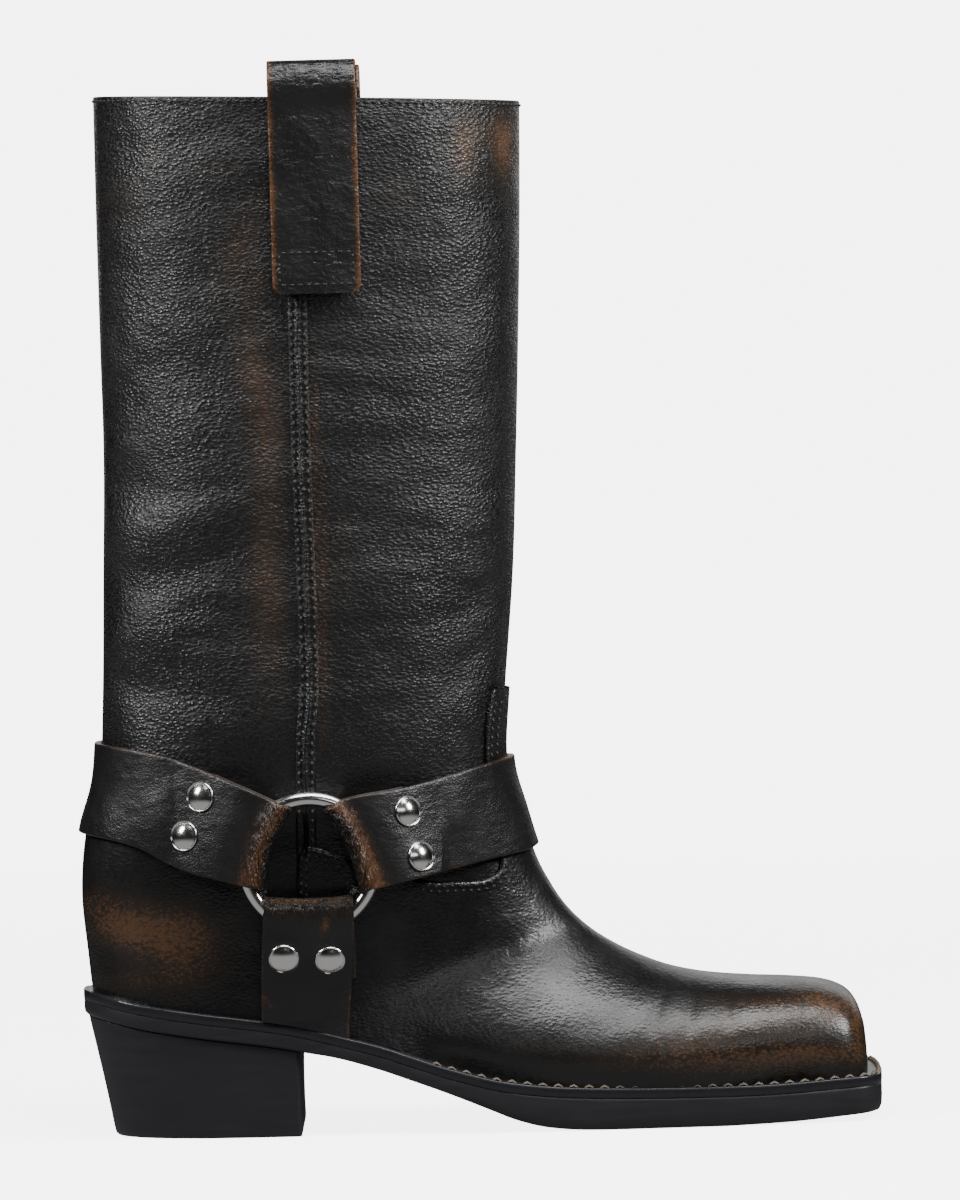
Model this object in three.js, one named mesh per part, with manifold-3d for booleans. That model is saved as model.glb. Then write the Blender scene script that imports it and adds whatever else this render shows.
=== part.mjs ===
// A right-foot harness boot: millimetres, X from heel to toe, Y to the inner (medial) side, Z up from the floor.
import * as THREE from 'three';
import { mergeVertices } from 'three/addons/utils/BufferGeometryUtils.js';
import Module from 'manifold-3d';

const wasm = await Module();
wasm.setup();

// Driving sizes of the last and the shaft
const footLength = 275.5;
const ballHalfWidth = 45;
const instepHeight = 155;
const ankleHeight = 155;
const collarHeight = 368;
const collarSlope = 5.5;
const shaftDepth = 150;
const shaftHalfWidth = 50;
const seatHeight = 52.3;
const treadHeight = 14.2;
const toeSpring = 3.2;
const archHeight = 30;

// Thicknesses of the leather and the sole
const upperWall = 2.2;
const vampThickness = 1.2;
const strapThickness = 2.4;
const seamHeight = 1.2;
const pullThickness = 2.4;
const weltThickness = 3.6;
const weltProud = 6.4;
const heelProud = 3.2;
const outsoleInset = 0.7;
const outsoleSeatThickness = 5;
const insoleThickness = 2.6;

// Heel block
const heelBreast = 77.5;
const heelInset = 0.9;
const heelBackSlant = 8.5;
const heelSideTaper = 3;
const originForward = 45;

// Rings, rivets and fittings
const ringOuter = 50.5;
const ringWire = 5;
const ringForward = 83;
const ringUp = 97.2;
const ringTilt = 3;
const rivetRadius = 4.9;
const rivetDome = 2.1;
const rivetRim = 0.9;
const gap = 0.3;
const seatGap = 0.5;

// Straps, seams and pull straps
const strapWidth = 33;
const foldSetback = 11.2;
const underStrapWidth = 33;
const seamWidth = 6.8;
const crestLength = 16;
const doubledLength = 38;
const pullWidth = 31;
const pullForward = 91.5;
const pullRise = 13.5;
const pullDrop = 68;
const pullInsideDrop = 42;
const pullLoopGap = 9;
const loopShoulder = 3;

// Welt and the well inside it for the insole
const toeBulge = 0.2;
const weltInset = 7;

// Reach of the cutting shapes beyond the boot
const cutterHalf = 150;
const cutterTop = 600;
const cutterEnd = 40;
const wellAbove = 5;
const wellBelow = 10;
const seatCut = 8;

// Detail of the meshes
const loopSteps = 26;
const closeRows = 5;
const soleSteps = 24;
const heelSteps = 14;
const endInset = 0.25;
const edgeSteps = 160;
const featherSteps = 22;
const foldSteps = 3;
const foldDepth = 26;
const ringSides = 22;
const wireSides = 6;
const rivetSides = 10;
const domeSteps = 2;
const loopBends = 6;

// Sections of the shaft: heights as shares from ankle to collar, depths as shares of the shaft's depth
const shaftSections = [
  { up: 1.07, back: 0.087, front: 1.096, half: 1.00, frontPower: 2.2, backPower: 2.2 },
  { up: 1.00, back: 0.087, front: 1.094, half: 1.00, frontPower: 2.2, backPower: 2.2 },
  { up: 0.80, back: 0.086, front: 1.087, half: 0.99, frontPower: 2.2, backPower: 2.2 },
  { up: 0.60, back: 0.0865, front: 1.076, half: 0.97, frontPower: 2.15, backPower: 2.2 },
  { up: 0.40, back: 0.087, front: 1.063, half: 0.93, frontPower: 2.1, backPower: 2.2 },
  { up: 0.20, back: 0.078, front: 1.048, half: 0.87, frontPower: 2.05, backPower: 2.2 },
  { up: 0.00, back: 0.068, front: 1.022, half: 0.805, frontPower: 2, backPower: 2.2 },
];

// Sections of the foot: the planes turn from level at the ankle to upright at the toe.
// low and high are the two ends of each section, as shares of foot length and instep height.
const footSections = [
  { lowX: 0.030, lowZ: 0.820, highX: 0.551, highZ: 0.835, outer: 0.865, inner: 0.865, wide: 0.50, top: 2.1, base: 2.4 },
  { lowX: 0.0105, lowZ: 0.695, highX: 0.567, highZ: 0.714, outer: 0.84, inner: 0.84, wide: 0.48, top: 2.1, base: 2.5 },
  { lowX: 0.0030, lowZ: 0.560, highX: 0.584, highZ: 0.612, outer: 0.82, inner: 0.80, wide: 0.46, top: 2, base: 2.5 },
  { lowX: 0.0080, lowZ: 0.430, highX: 0.601, highZ: 0.548, outer: 0.79, inner: 0.76, wide: 0.44, top: 1.95, base: 2.5 },
  { lowX: 0.0170, lowZ: 0.290, highX: 0.619, highZ: 0.497, outer: 0.77, inner: 0.73, wide: 0.43, top: 1.9, base: 2.6 },
  { lowX: 0.040, lowZ: 0.130, highX: 0.639, highZ: 0.457, outer: 0.76, inner: 0.70, wide: 0.42, top: 1.85, base: 2.7 },
  { lowX: 0.150, lowZ: 0.060, highX: 0.662, highZ: 0.423, outer: 0.78, inner: 0.70, wide: 0.42, top: 1.85, base: 2.9 },
  { lowX: 0.300, lowZ: 0.015, highX: 0.690, highZ: 0.392, outer: 0.83, inner: 0.75, wide: 0.42, top: 1.85, base: 3.2 },
  { lowX: 0.440, lowZ: -0.020, highX: 0.721, highZ: 0.365, outer: 0.89, inner: 0.86, wide: 0.42, top: 1.9, base: 3.6 },
  { lowX: 0.570, lowZ: -0.030, highX: 0.758, highZ: 0.340, outer: 0.94, inner: 0.98, wide: 0.40, top: 2, base: 4 },
  { lowX: 0.690, lowZ: -0.030, highX: 0.803, highZ: 0.322, outer: 0.95, inner: 1.02, wide: 0.40, top: 2.15, base: 4 },
  { lowX: 0.800, lowZ: -0.030, highX: 0.858, highZ: 0.311, outer: 0.91, inner: 0.98, wide: 0.42, top: 2.4, base: 4 },
  { lowX: 0.892, lowZ: -0.030, highX: 0.912, highZ: 0.305, outer: 0.83, inner: 0.90, wide: 0.45, top: 2.6, base: 4 },
  { lowX: 0.950, lowZ: -0.030, highX: 0.954, highZ: 0.296, outer: 0.77, inner: 0.83, wide: 0.46, top: 2.8, base: 4 },
  { lowX: 0.980, lowZ: -0.030, highX: 0.980, highZ: 0.278, outer: 0.72, inner: 0.78, wide: 0.46, top: 3, base: 4 },
  { lowX: 0.994, lowZ: -0.028, highX: 0.993, highZ: 0.251, outer: 0.64, inner: 0.70, wide: 0.47, top: 3, base: 4 },
  { lowX: 1.000, lowZ: -0.022, highX: 1.000, highZ: 0.212, outer: 0.54, inner: 0.59, wide: 0.48, top: 3, base: 4 },
];

// The feather line, where upper and welt meet, from the side: rise is the share from tread to seat
const featherLine = [
  { along: -0.05, rise: 1.02 },
  { along: 0.00, rise: 1.00 },
  { along: 0.075, rise: 0.885 },
  { along: 0.155, rise: 0.794 },
  { along: 0.232, rise: 0.718 },
  { along: 0.282, rise: 0.653 },
  { along: 0.333, rise: 0.559 },
  { along: 0.384, rise: 0.462 },
  { along: 0.425, rise: 0.360 },
  { along: 0.467, rise: 0.253 },
  { along: 0.501, rise: 0.180 },
  { along: 0.535, rise: 0.115 },
  { along: 0.593, rise: 0.055 },
  { along: 0.660, rise: 0.022 },
  { along: 0.762, rise: 0.003 },
  { along: 0.864, rise: 0.002 },
  { along: 0.915, rise: 0.015 },
  { along: 1.00, rise: 0.045 },
  { along: 1.05, rise: 0.065 },
];

// The outsole's underside: rise is a share of the arch's height behind the tread, of toe spring before it
const archLine = [
  { along: 0.285, rise: 1.00 },
  { along: 0.332, rise: 0.916 },
  { along: 0.383, rise: 0.78 },
  { along: 0.425, rise: 0.64 },
  { along: 0.466, rise: 0.495 },
  { along: 0.500, rise: 0.365 },
  { along: 0.529, rise: 0.25 },
  { along: 0.555, rise: 0.15 },
  { along: 0.590, rise: 0.06 },
  { along: 0.635, rise: 0.012 },
  { along: 0.690, rise: 0 },
];
const toeLine = [
  { along: 0.826, rise: 0 },
  { along: 0.889, rise: 0.18 },
  { along: 0.940, rise: 0.42 },
  { along: 0.991, rise: 0.74 },
  { along: 1.04, rise: 1.1 },
];

// The vamp's edge from the side, from the tongue's top to the welt, as shares of foot length and instep height
const vampTongueTop = 1.062;
const vampSeam = [
  { along: 0.556, up: 1.062 },
  { along: 0.543, up: 1.030 },
  { along: 0.5365, up: 0.995 },
  { along: 0.530, up: 0.935 },
  { along: 0.5265, up: 0.843 },
  { along: 0.532, up: 0.720 },
  { along: 0.543, up: 0.620 },
  { along: 0.542, up: 0.592 },
  { along: 0.532, up: 0.575 },
  { along: 0.517, up: 0.568 },
  { along: 0.453, up: 0.572 },
  { along: 0.395, up: 0.605 },
  { along: 0.340, up: 0.640 },
  { along: 0.290, up: 0.669 },
  { along: 0.284, up: 0.600 },
  { along: 0.280, up: 0.400 },
  { along: 0.274, up: 0.100 },
];

// The side seam from the collar to the vamp, as shares of shaft depth and collar height
const seamLine = [
  { along: 0.575, up: 0.985 },
  { along: 0.563, up: 0.795 },
  { along: 0.561, up: 0.690 },
  { along: 0.563, up: 0.556 },
  { along: 0.565, up: 0.480 },
  { along: 0.562, up: 0.422 },
  { along: 0.552, up: 0.384 },
  { along: 0.545, up: 0.290 },
];

// Strap edges from the ring's centre, round from the upper edge, as shares of the strap's width
const rearStrapEdge = [
  { along: -4.0, up: 1.30 },
  { along: -2.21, up: 1.272 },
  { along: -1.56, up: 1.173 },
  { along: -1.14, up: 1.036 },
  { along: -0.72, up: 0.848 },
  { along: -0.155, up: 0.579 },
  { along: -0.485, up: -0.285 },
  { along: -0.72, up: -0.218 },
  { along: -0.96, up: -0.155 },
  { along: -1.385, up: -0.024 },
  { along: -1.81, up: 0.188 },
  { along: -2.44, up: 0.312 },
  { along: -4.0, up: 0.42 },
];
const frontStrapEdge = [
  { along: 4.0, up: 1.20 },
  { along: 2.18, up: 1.033 },
  { along: 1.84, up: 0.964 },
  { along: 1.41, up: 0.867 },
  { along: 0.98, up: 0.782 },
  { along: 0.36, up: 0.673 },
  { along: 0.133, up: 0.548 },
  { along: 0.521, up: -0.345 },
  { along: 0.70, up: -0.291 },
  { along: 1.38, up: -0.142 },
  { along: 1.81, up: -0.067 },
  { along: 2.24, up: -0.012 },
  { along: 2.42, up: 0.048 },
  { along: 4.0, up: 0.20 },
];
const underStrapEdge = [
  { along: -0.50, up: 1, below: false },
  { along: 0.445, up: 1, below: false },
  { along: 0.455, up: 2, below: false },
  { along: 0.39, up: 4, below: false },
  { along: 0.37, up: 0, below: true },
  { along: -0.10, up: 0, below: true },
  { along: -0.56, up: 0, below: true },
  { along: -0.54, up: 3, below: false },
];
const rearTurn = 159;
const frontTurn = 23;
const underTurn = -90;

// Rivets on each folded end: distance from the fold, and place across the strap
const rearRivets = [{ distance: 31.9, aside: -9.4 }, { distance: 32.6, aside: 5.5 }];
const frontRivets = [{ distance: 26.9, aside: 2.8 }, { distance: 24.7, aside: -13.5 }];
const underRivets = [{ distance: 21.8, aside: -10 }, { distance: 22.8, aside: 6.1 }];

// A smooth value from a table whose rows run along one column
function valueAt(table, column, key, place) {
  const last = table.length - 1;
  let row = 0;
  while (row < last - 1 && place > table[row + 1][key]) row += 1;
  const a = table[row];
  const b = table[row + 1];
  const before = table[Math.max(row - 1, 0)];
  const after = table[Math.min(row + 2, last)];
  const step = b[key] - a[key];
  const slopeA = (b[column] - before[column]) / (b[key] - before[key]);
  const slopeB = (after[column] - a[column]) / (after[key] - a[key]);
  const t = (place - a[key]) / step;
  if (t < 0) return a[column] + slopeA * (place - a[key]);
  if (t > 1) return b[column] + slopeB * (place - b[key]);
  const t2 = t * t;
  const t3 = t2 * t;
  return (2 * t3 - 3 * t2 + 1) * a[column] + (t3 - 2 * t2 + t) * slopeA * step
    + (3 * t2 - 2 * t3) * b[column] + (t3 - t2) * slopeB * step;
}

// Heights of the feather line and of the outsole's underside at a place along the foot
function featherZ(x) {
  const rise = valueAt(featherLine, 'rise', 'along', x / footLength);
  return treadHeight + rise * (seatHeight - treadHeight);
}

function outsoleTopZ(x) {
  return featherZ(x) - weltThickness - gap;
}

function outsoleBottomZ(x) {
  const along = x / footLength;
  const breast = heelBreast / footLength;
  const waist = archHeight * valueAt(archLine, 'rise', 'along', Math.max(along, breast));
  if (along <= breast) {
    const drop = outsoleTopZ(heelBreast) - waist;
    const share = along / breast;
    return outsoleTopZ(x) - (outsoleSeatThickness + (drop - outsoleSeatThickness) * Math.max(share, 0));
  }
  if (along < archLine[archLine.length - 1].along) return waist;
  if (along < toeLine[0].along) return 0;
  return toeSpring * valueAt(toeLine, 'rise', 'along', along);
}

// One row of section facts for every level, in millimetres, from the collar to the toe
const levels = [];
for (const section of shaftSections) {
  const rise = ankleHeight + section.up * (collarHeight - ankleHeight);
  const tilt = collarSlope * section.up;
  levels.push({
    lowX: shaftDepth * section.back,
    lowZ: rise,
    highX: shaftDepth * section.front,
    highZ: rise - tilt,
    outer: shaftHalfWidth * section.half,
    inner: shaftHalfWidth * section.half,
    wide: 0.5,
    top: section.frontPower,
    base: section.backPower,
  });
}
for (const section of footSections) {
  levels.push({
    lowX: footLength * section.lowX,
    lowZ: instepHeight * section.lowZ,
    highX: footLength * section.highX,
    highZ: instepHeight * section.highZ,
    outer: ballHalfWidth * section.outer,
    inner: ballHalfWidth * section.inner,
    wide: section.wide,
    top: section.top,
    base: section.base,
  });
}

// A section between the table's rows, by a smooth curve through the four nearest rows
function levelAt(place) {
  const last = levels.length - 1;
  const row = Math.min(Math.floor(place), last - 1);
  const t = place - row;
  const a = levels[Math.max(row - 1, 0)];
  const b = levels[row];
  const c = levels[row + 1];
  const d = levels[Math.min(row + 2, last)];
  const mixed = {};
  for (const key of Object.keys(b)) {
    const slope = (c[key] - a[key]) / 2;
    const bend = a[key] - 2.5 * b[key] + 2 * c[key] - 0.5 * d[key];
    const twist = 1.5 * (b[key] - c[key]) + 0.5 * (d[key] - a[key]);
    mixed[key] = b[key] + t * (slope + t * (bend + t * twist));
  }
  return mixed;
}

// A point of a section at an angle: 0 is its high end, half a turn its low end
function sectionPoint(level, angle) {
  const up = Math.cos(angle);
  const side = Math.sin(angle);
  const power = up >= 0 ? level.top : level.base;
  const reach = up >= 0 ? 1 - level.wide : -level.wide;
  const share = level.wide + reach * Math.abs(up) ** (2 / power);
  const width = side >= 0 ? level.inner : -level.outer;
  return new THREE.Vector3(
    level.lowX + share * (level.highX - level.lowX),
    width * Math.abs(side) ** (2 / power),
    level.lowZ + share * (level.highZ - level.lowZ),
  );
}

// The grid of the last's surface, and its outward direction at each point
const rowPlaces = [];
for (let row = 0; row < levels.length; row += 1) {
  rowPlaces.push(row);
  if (row >= shaftSections.length - 1 && row < shaftSections.length + closeRows) rowPlaces.push(row + 0.5);
}
const rowCount = rowPlaces.length;
const lastGrid = [];
for (const place of rowPlaces) {
  const level = levelAt(place);
  const ring = [];
  for (let step = 0; step < loopSteps; step += 1) {
    ring.push(sectionPoint(level, (2 * Math.PI * step) / loopSteps));
  }
  lastGrid.push(ring);
}
const lastNormals = lastGrid.map((ring, row) => ring.map((point, step) => {
  const above = lastGrid[Math.max(row - 1, 0)][step];
  const below = lastGrid[Math.min(row + 1, rowCount - 1)][step];
  const next = ring[(step + 1) % loopSteps];
  const previous = ring[(step + loopSteps - 1) % loopSteps];
  const down = below.clone().sub(above);
  const round = next.clone().sub(previous);
  return down.cross(round).normalize();
}));

// Closed meshes and solids
function closedGeometry(points, triangles) {
  const geometry = new THREE.BufferGeometry();
  const flat = points.flatMap((point) => [point.x, point.y, point.z]);
  geometry.setAttribute('position', new THREE.Float32BufferAttribute(flat, 3));
  geometry.setIndex(triangles);
  return geometry;
}

function toSolid(source) {
  let geometry = source.clone();
  geometry.deleteAttribute('normal');
  geometry.deleteAttribute('uv');
  geometry = mergeVertices(geometry, 1e-4);
  return new wasm.Manifold(new wasm.Mesh({
    numProp: 3,
    vertProperties: new Float32Array(geometry.attributes.position.array),
    triVerts: new Uint32Array(geometry.index.array),
  }));
}

function toGeometry(solid) {
  const mesh = solid.getMesh();
  const geometry = new THREE.BufferGeometry();
  geometry.setAttribute('position', new THREE.BufferAttribute(new Float32Array(mesh.vertProperties), 3));
  geometry.setIndex(new THREE.BufferAttribute(new Uint32Array(mesh.triVerts), 1));
  geometry.computeVertexNormals();
  return geometry;
}

// The whole last as a closed solid, moved outwards by an offset
function lastForm(offset) {
  const points = [];
  const triangles = [];
  lastGrid.forEach((ring, row) => ring.forEach((point, step) => {
    points.push(point.clone().addScaledVector(lastNormals[row][step], offset));
  }));
  for (let row = 0; row < rowCount - 1; row += 1) {
    for (let step = 0; step < loopSteps; step += 1) {
      const a = row * loopSteps + step;
      const b = row * loopSteps + ((step + 1) % loopSteps);
      triangles.push(a, a + loopSteps, b, b, a + loopSteps, b + loopSteps);
    }
  }
  for (const [row, turn] of [[0, 1], [rowCount - 1, -1]]) {
    const first = row * loopSteps;
    const middle = new THREE.Vector3();
    for (let step = 0; step < loopSteps; step += 1) middle.addScaledVector(points[first + step], 1 / loopSteps);
    const centre = points.length;
    points.push(middle);
    for (let step = 0; step < loopSteps; step += 1) {
      const a = first + step;
      const b = first + ((step + 1) % loopSteps);
      if (turn > 0) triangles.push(centre, a, b);
      else triangles.push(centre, b, a);
    }
  }
  return toSolid(closedGeometry(points, triangles));
}

// A side-view outline [x, z] carried across the boot, between two widths
function sidePrism(outline, fromY = -cutterHalf, toY = cutterHalf) {
  const shape = new THREE.Shape(outline.map(([x, z]) => new THREE.Vector2(x, z)));
  const geometry = new THREE.ExtrudeGeometry(shape, { depth: toY - fromY, bevelEnabled: false });
  geometry.rotateX(Math.PI / 2);
  geometry.translate(0, toY, 0);
  return toSolid(geometry);
}

// Points of the feather line, or of a line a set height from it, between two places
function featherPoints(fromX, toX, lift, count) {
  const points = [];
  for (let step = 0; step <= count; step += 1) {
    const x = fromX + ((toX - fromX) * step) / count;
    points.push([x, featherZ(x) + lift]);
  }
  return points;
}

// The edge where the last meets the feather line, one point a side for each close section, in plan
function featherEdge(side) {
  let start = shaftSections.length;
  let end = levels.length - 1;
  for (let round = 0; round < 30; round += 1) {
    const middle = (start + end) / 2;
    const level = levelAt(middle);
    if (level.lowZ > featherZ(level.lowX)) start = middle;
    else end = middle;
  }
  const edge = [];
  for (let step = 0; step <= edgeSteps; step += 1) {
    const share = step / edgeSteps;
    const level = levelAt(end + (levels.length - 1 - end) * share ** 1.6);
    let low = Math.PI;
    let high = 0;
    for (let round = 0; round < 30; round += 1) {
      const angle = (low + high) / 2;
      const point = sectionPoint(level, side * angle);
      if (point.z < featherZ(point.x)) low = angle;
      else high = angle;
    }
    edge.push(sectionPoint(level, side * low));
  }
  edge[0].y = 0;
  return edge;
}
const featherEdges = { outer: featherEdge(-1), inner: featherEdge(1) };

// How far the welt stands proud of the last: less round the heel than along the foot
function proudAt(x) {
  const share = Math.min(Math.max((x / footLength - 0.2) / 0.3, 0), 1);
  return heelProud + (weltProud - heelProud) * share * share * (3 - 2 * share);
}

// One side of a sole's outline in plan, moved out from the feather edge, with a soft bulge at the toe
function planEdge(name, side, offsetAt) {
  const edge = featherEdges[name];
  const moved = edge.map((point, index) => {
    if (index === 0) return [point.x - offsetAt(point.x), 0];
    const before = edge[index - 1];
    const after = edge[Math.min(index + 1, edge.length - 1)];
    const along = new THREE.Vector2(after.x - before.x, after.y - before.y).normalize();
    const offset = offsetAt(point.x);
    return [point.x - side * along.y * offset, point.y + side * along.x * offset];
  });
  const corner = moved[moved.length - 1];
  for (const share of [0.75, 0.5, 0.25, 0.05]) {
    moved.push([corner[0] + toeBulge * (1 - share * share), corner[1] * share]);
  }
  return moved.filter((point, index) => index === 0 || point[0] > moved[index - 1][0]);
}

function edgeAt(edge, x) {
  let index = 0;
  while (index < edge.length - 2 && x > edge[index + 1][0]) index += 1;
  const [a, b] = [edge[index], edge[index + 1]];
  const share = Math.min(Math.max((x - a[0]) / (b[0] - a[0]), 0), 1);
  return a[1] + share * (b[1] - a[1]);
}

// Stations of an outline: x and the outer and inner widths, closer together at both ends
function stations(offsetAt, fromX, toX, count) {
  const outerEdge = planEdge('outer', -1, offsetAt);
  const innerEdge = planEdge('inner', 1, offsetAt);
  const first = Math.max(outerEdge[0][0], innerEdge[0][0]) + endInset;
  const last = Math.min(outerEdge.at(-1)[0], innerEdge.at(-1)[0]) - endInset;
  const start = fromX === null ? first : fromX;
  const end = toX === null ? last : toX;
  const list = [];
  for (let step = 0; step <= count; step += 1) {
    let share = step / count;
    if (fromX === null && toX === null) share = (1 - Math.cos(Math.PI * share)) / 2;
    else if (fromX === null) share = 1 - Math.cos((Math.PI / 2) * share);
    const x = start + (end - start) * share;
    list.push({ x, outer: edgeAt(outerEdge, x), inner: edgeAt(innerEdge, x) });
  }
  return list;
}

// A solid between an upper and a lower outline with the same stations
function slab(upperList, upperZ, lowerList, lowerZ) {
  const points = [];
  const triangles = [];
  upperList.forEach((top, index) => {
    const low = lowerList[index];
    points.push(new THREE.Vector3(top.x, top.outer, upperZ(top.x)));
    points.push(new THREE.Vector3(top.x, top.inner, upperZ(top.x)));
    points.push(new THREE.Vector3(low.x, low.inner, lowerZ(low.x)));
    points.push(new THREE.Vector3(low.x, low.outer, lowerZ(low.x)));
  });
  for (let index = 0; index < upperList.length - 1; index += 1) {
    for (let side = 0; side < 4; side += 1) {
      const a = index * 4 + side;
      const b = index * 4 + ((side + 1) % 4);
      triangles.push(a, a + 4, b, b, a + 4, b + 4);
    }
  }
  const end = (upperList.length - 1) * 4;
  triangles.push(0, 1, 2, 0, 2, 3, end, end + 2, end + 1, end, end + 3, end + 2);
  return toSolid(closedGeometry(points, triangles));
}

const boot = new THREE.Group();
function addPiece(name, solid, colour, roughness, metalness) {
  const material = new THREE.MeshStandardMaterial({ color: colour, roughness, metalness });
  const mesh = new THREE.Mesh(toGeometry(solid), material);
  mesh.name = name;
  boot.add(mesh);
}
const blackLeather = ['#1c1a19', 0.5, 0];
const soleBlack = ['#111111', 0.4, 0];
const insoleTan = ['#8a6a48', 0.8, 0];
const chrome = ['#d8d8d6', 0.12, 1];

// Upper: one hollow solid, open at the collar and below
const farX = footLength + cutterEnd;
const innerForm = lastForm(-upperWall);
const aboveFeather = sidePrism([
  ...featherPoints(-cutterEnd, farX, seatGap, featherSteps), [farX, cutterTop], [-cutterEnd, cutterTop],
]);
const collarAt = (x) => collarHeight - collarSlope * (x / shaftDepth);
const collarCut = sidePrism([
  [-cutterEnd, -cutterEnd], [farX, -cutterEnd], [farX, collarAt(farX)], [-cutterEnd, collarAt(-cutterEnd)],
]);
addPiece('upper', lastForm(0).subtract(innerForm).intersect(aboveFeather).intersect(collarCut), ...blackLeather);

// Welt: a strip all round, with the insole's edge inside it
const weltStations = stations(proudAt, null, null, soleSteps);
const wellStations = stations(() => -weltInset, null, null, soleSteps);
const weltBottomZ = (x) => featherZ(x) - weltThickness;
const weltPlate = slab(weltStations, featherZ, weltStations, weltBottomZ);
const weltWell = slab(wellStations, (x) => featherZ(x) + wellAbove, wellStations, (x) => featherZ(x) - wellBelow);
addPiece('welt', weltPlate.subtract(weltWell), ...soleBlack);

// Outsole: thin at the waist, thick under the ball, flat on the floor between arch and toe spring
const outsoleStations = stations((x) => proudAt(x) - outsoleInset, null, null, soleSteps);
addPiece('outsole', slab(outsoleStations, outsoleTopZ, outsoleStations, outsoleBottomZ), ...soleBlack);

// Insole: fills the welt's opening and covers the floor of the foot
const insoleStations = stations(() => -weltInset - gap, null, null, soleSteps);
const insoleCore = slab(insoleStations, (x) => featherZ(x) + 2 * gap, insoleStations, (x) => outsoleTopZ(x) + gap);
const insoleBand = sidePrism([
  ...featherPoints(-cutterEnd, farX, gap + insoleThickness, featherSteps),
  ...featherPoints(-cutterEnd, farX, gap, featherSteps).reverse(),
]);
addPiece('insole', lastForm(-upperWall - gap).intersect(insoleBand).add(insoleCore), ...insoleTan);

// Heel block: slants in at the back and tapers a little at the sides
const heelTop = stations((x) => proudAt(x) - outsoleInset - heelInset, null, heelBreast, heelSteps);
const heelLength = heelBreast - heelTop[0].x;
const heelFoot = heelTop.map(({ x, outer, inner }) => ({
  x: heelBreast - (heelBreast - x) * (1 - heelBackSlant / heelLength),
  outer: outer * (1 - heelSideTaper / ballHalfWidth),
  inner: inner * (1 - heelSideTaper / ballHalfWidth),
}));
addPiece('heel', slab(heelTop, (x) => outsoleBottomZ(x) - gap, heelFoot, () => 0), ...soleBlack);

// The last's side surface: how far out it lies at a side-view place
function surfaceY(x, z, side) {
  let found = 0;
  const place = new THREE.Vector3(x, 0, z);
  const weights = new THREE.Vector3();
  for (let row = 0; row < rowCount - 1; row += 1) {
    for (let step = 0; step < loopSteps; step += 1) {
      const next = (step + 1) % loopSteps;
      const [a, b] = [lastGrid[row][step], lastGrid[row][next]];
      const [c, d] = [lastGrid[row + 1][step], lastGrid[row + 1][next]];
      if ((a.y + b.y + c.y + d.y) * side <= 0) continue;
      for (const corners of [[a, c, b], [b, c, d]]) {
        const flat = corners.map((corner) => new THREE.Vector3(corner.x, 0, corner.z));
        if (!THREE.Triangle.getBarycoord(place, ...flat, weights)) continue;
        if (Math.min(weights.x, weights.y, weights.z) < -1e-6) continue;
        found = corners[0].y * weights.x + corners[1].y * weights.y + corners[2].y * weights.z;
      }
    }
  }
  return found;
}

// A layer on the upper: between two larger forms, inside a side-view outline
function layer(inside, thickness, outline, fromY, toY) {
  return lastForm(inside + thickness).subtract(lastForm(inside)).intersect(sidePrism(outline, fromY, toY));
}
const asShares = (table) => table.map(({ along, up }) => [along * footLength, up * instepHeight]);
const overVamp = gap + vampThickness + gap;
const overSeam = gap + seamHeight + gap;
const sides = [['lateral', -1], ['medial', 1]];

// Vamp with its tongue, over the foot and the front of the ankle
const vampOutline = [...asShares(vampSeam), [farX, -cutterEnd], [farX, vampTongueTop * instepHeight]];
addPiece('vamp', layer(gap, vampThickness, vampOutline, -cutterHalf, cutterHalf).intersect(aboveFeather), ...blackLeather);

// Side seams, from the collar down to the vamp
for (const [name, side] of sides) {
  const line = seamLine.map(({ along, up }) => [along * shaftDepth, up * collarHeight]);
  line[0][1] = collarAt(shaftDepth) - gap;
  const outline = [
    ...line.map(([x, z]) => [x - seamWidth / 2, z]), ...line.map(([x, z]) => [x + seamWidth / 2, z]).reverse(),
  ];
  const seam = layer(gap, seamHeight, outline, Math.min(side, 0) * cutterHalf, Math.max(side, 0) * cutterHalf);
  addPiece(`side_seam_${name}`, seam, ...blackLeather);
}

// The ring's own frame on each side: its centre, its outward direction and its up direction
const wireRadius = ringWire / 2;
const ringRadius = (ringOuter - ringWire) / 2;
const foldRadius = wireRadius + gap + strapThickness;
const ringLift = overVamp + strapThickness + gap + wireRadius;
function ringFrame(side) {
  const tilt = THREE.MathUtils.degToRad(ringTilt);
  return {
    centre: new THREE.Vector3(ringForward, surfaceY(ringForward, ringUp, side) + side * ringLift, ringUp),
    out: new THREE.Vector3(0, side * Math.cos(tilt), -Math.sin(tilt)),
    up: new THREE.Vector3(0, side * Math.sin(tilt), Math.cos(tilt)),
  };
}

function ringSolid(side, radius, around, across) {
  const frame = ringFrame(side);
  const geometry = new THREE.TorusGeometry(ringRadius, radius, across, around);
  geometry.applyMatrix4(new THREE.Matrix4().makeBasis(
    new THREE.Vector3(1, 0, 0).multiplyScalar(-side),
    frame.up,
    frame.out,
  ).setPosition(frame.centre));
  return toSolid(geometry);
}

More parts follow.
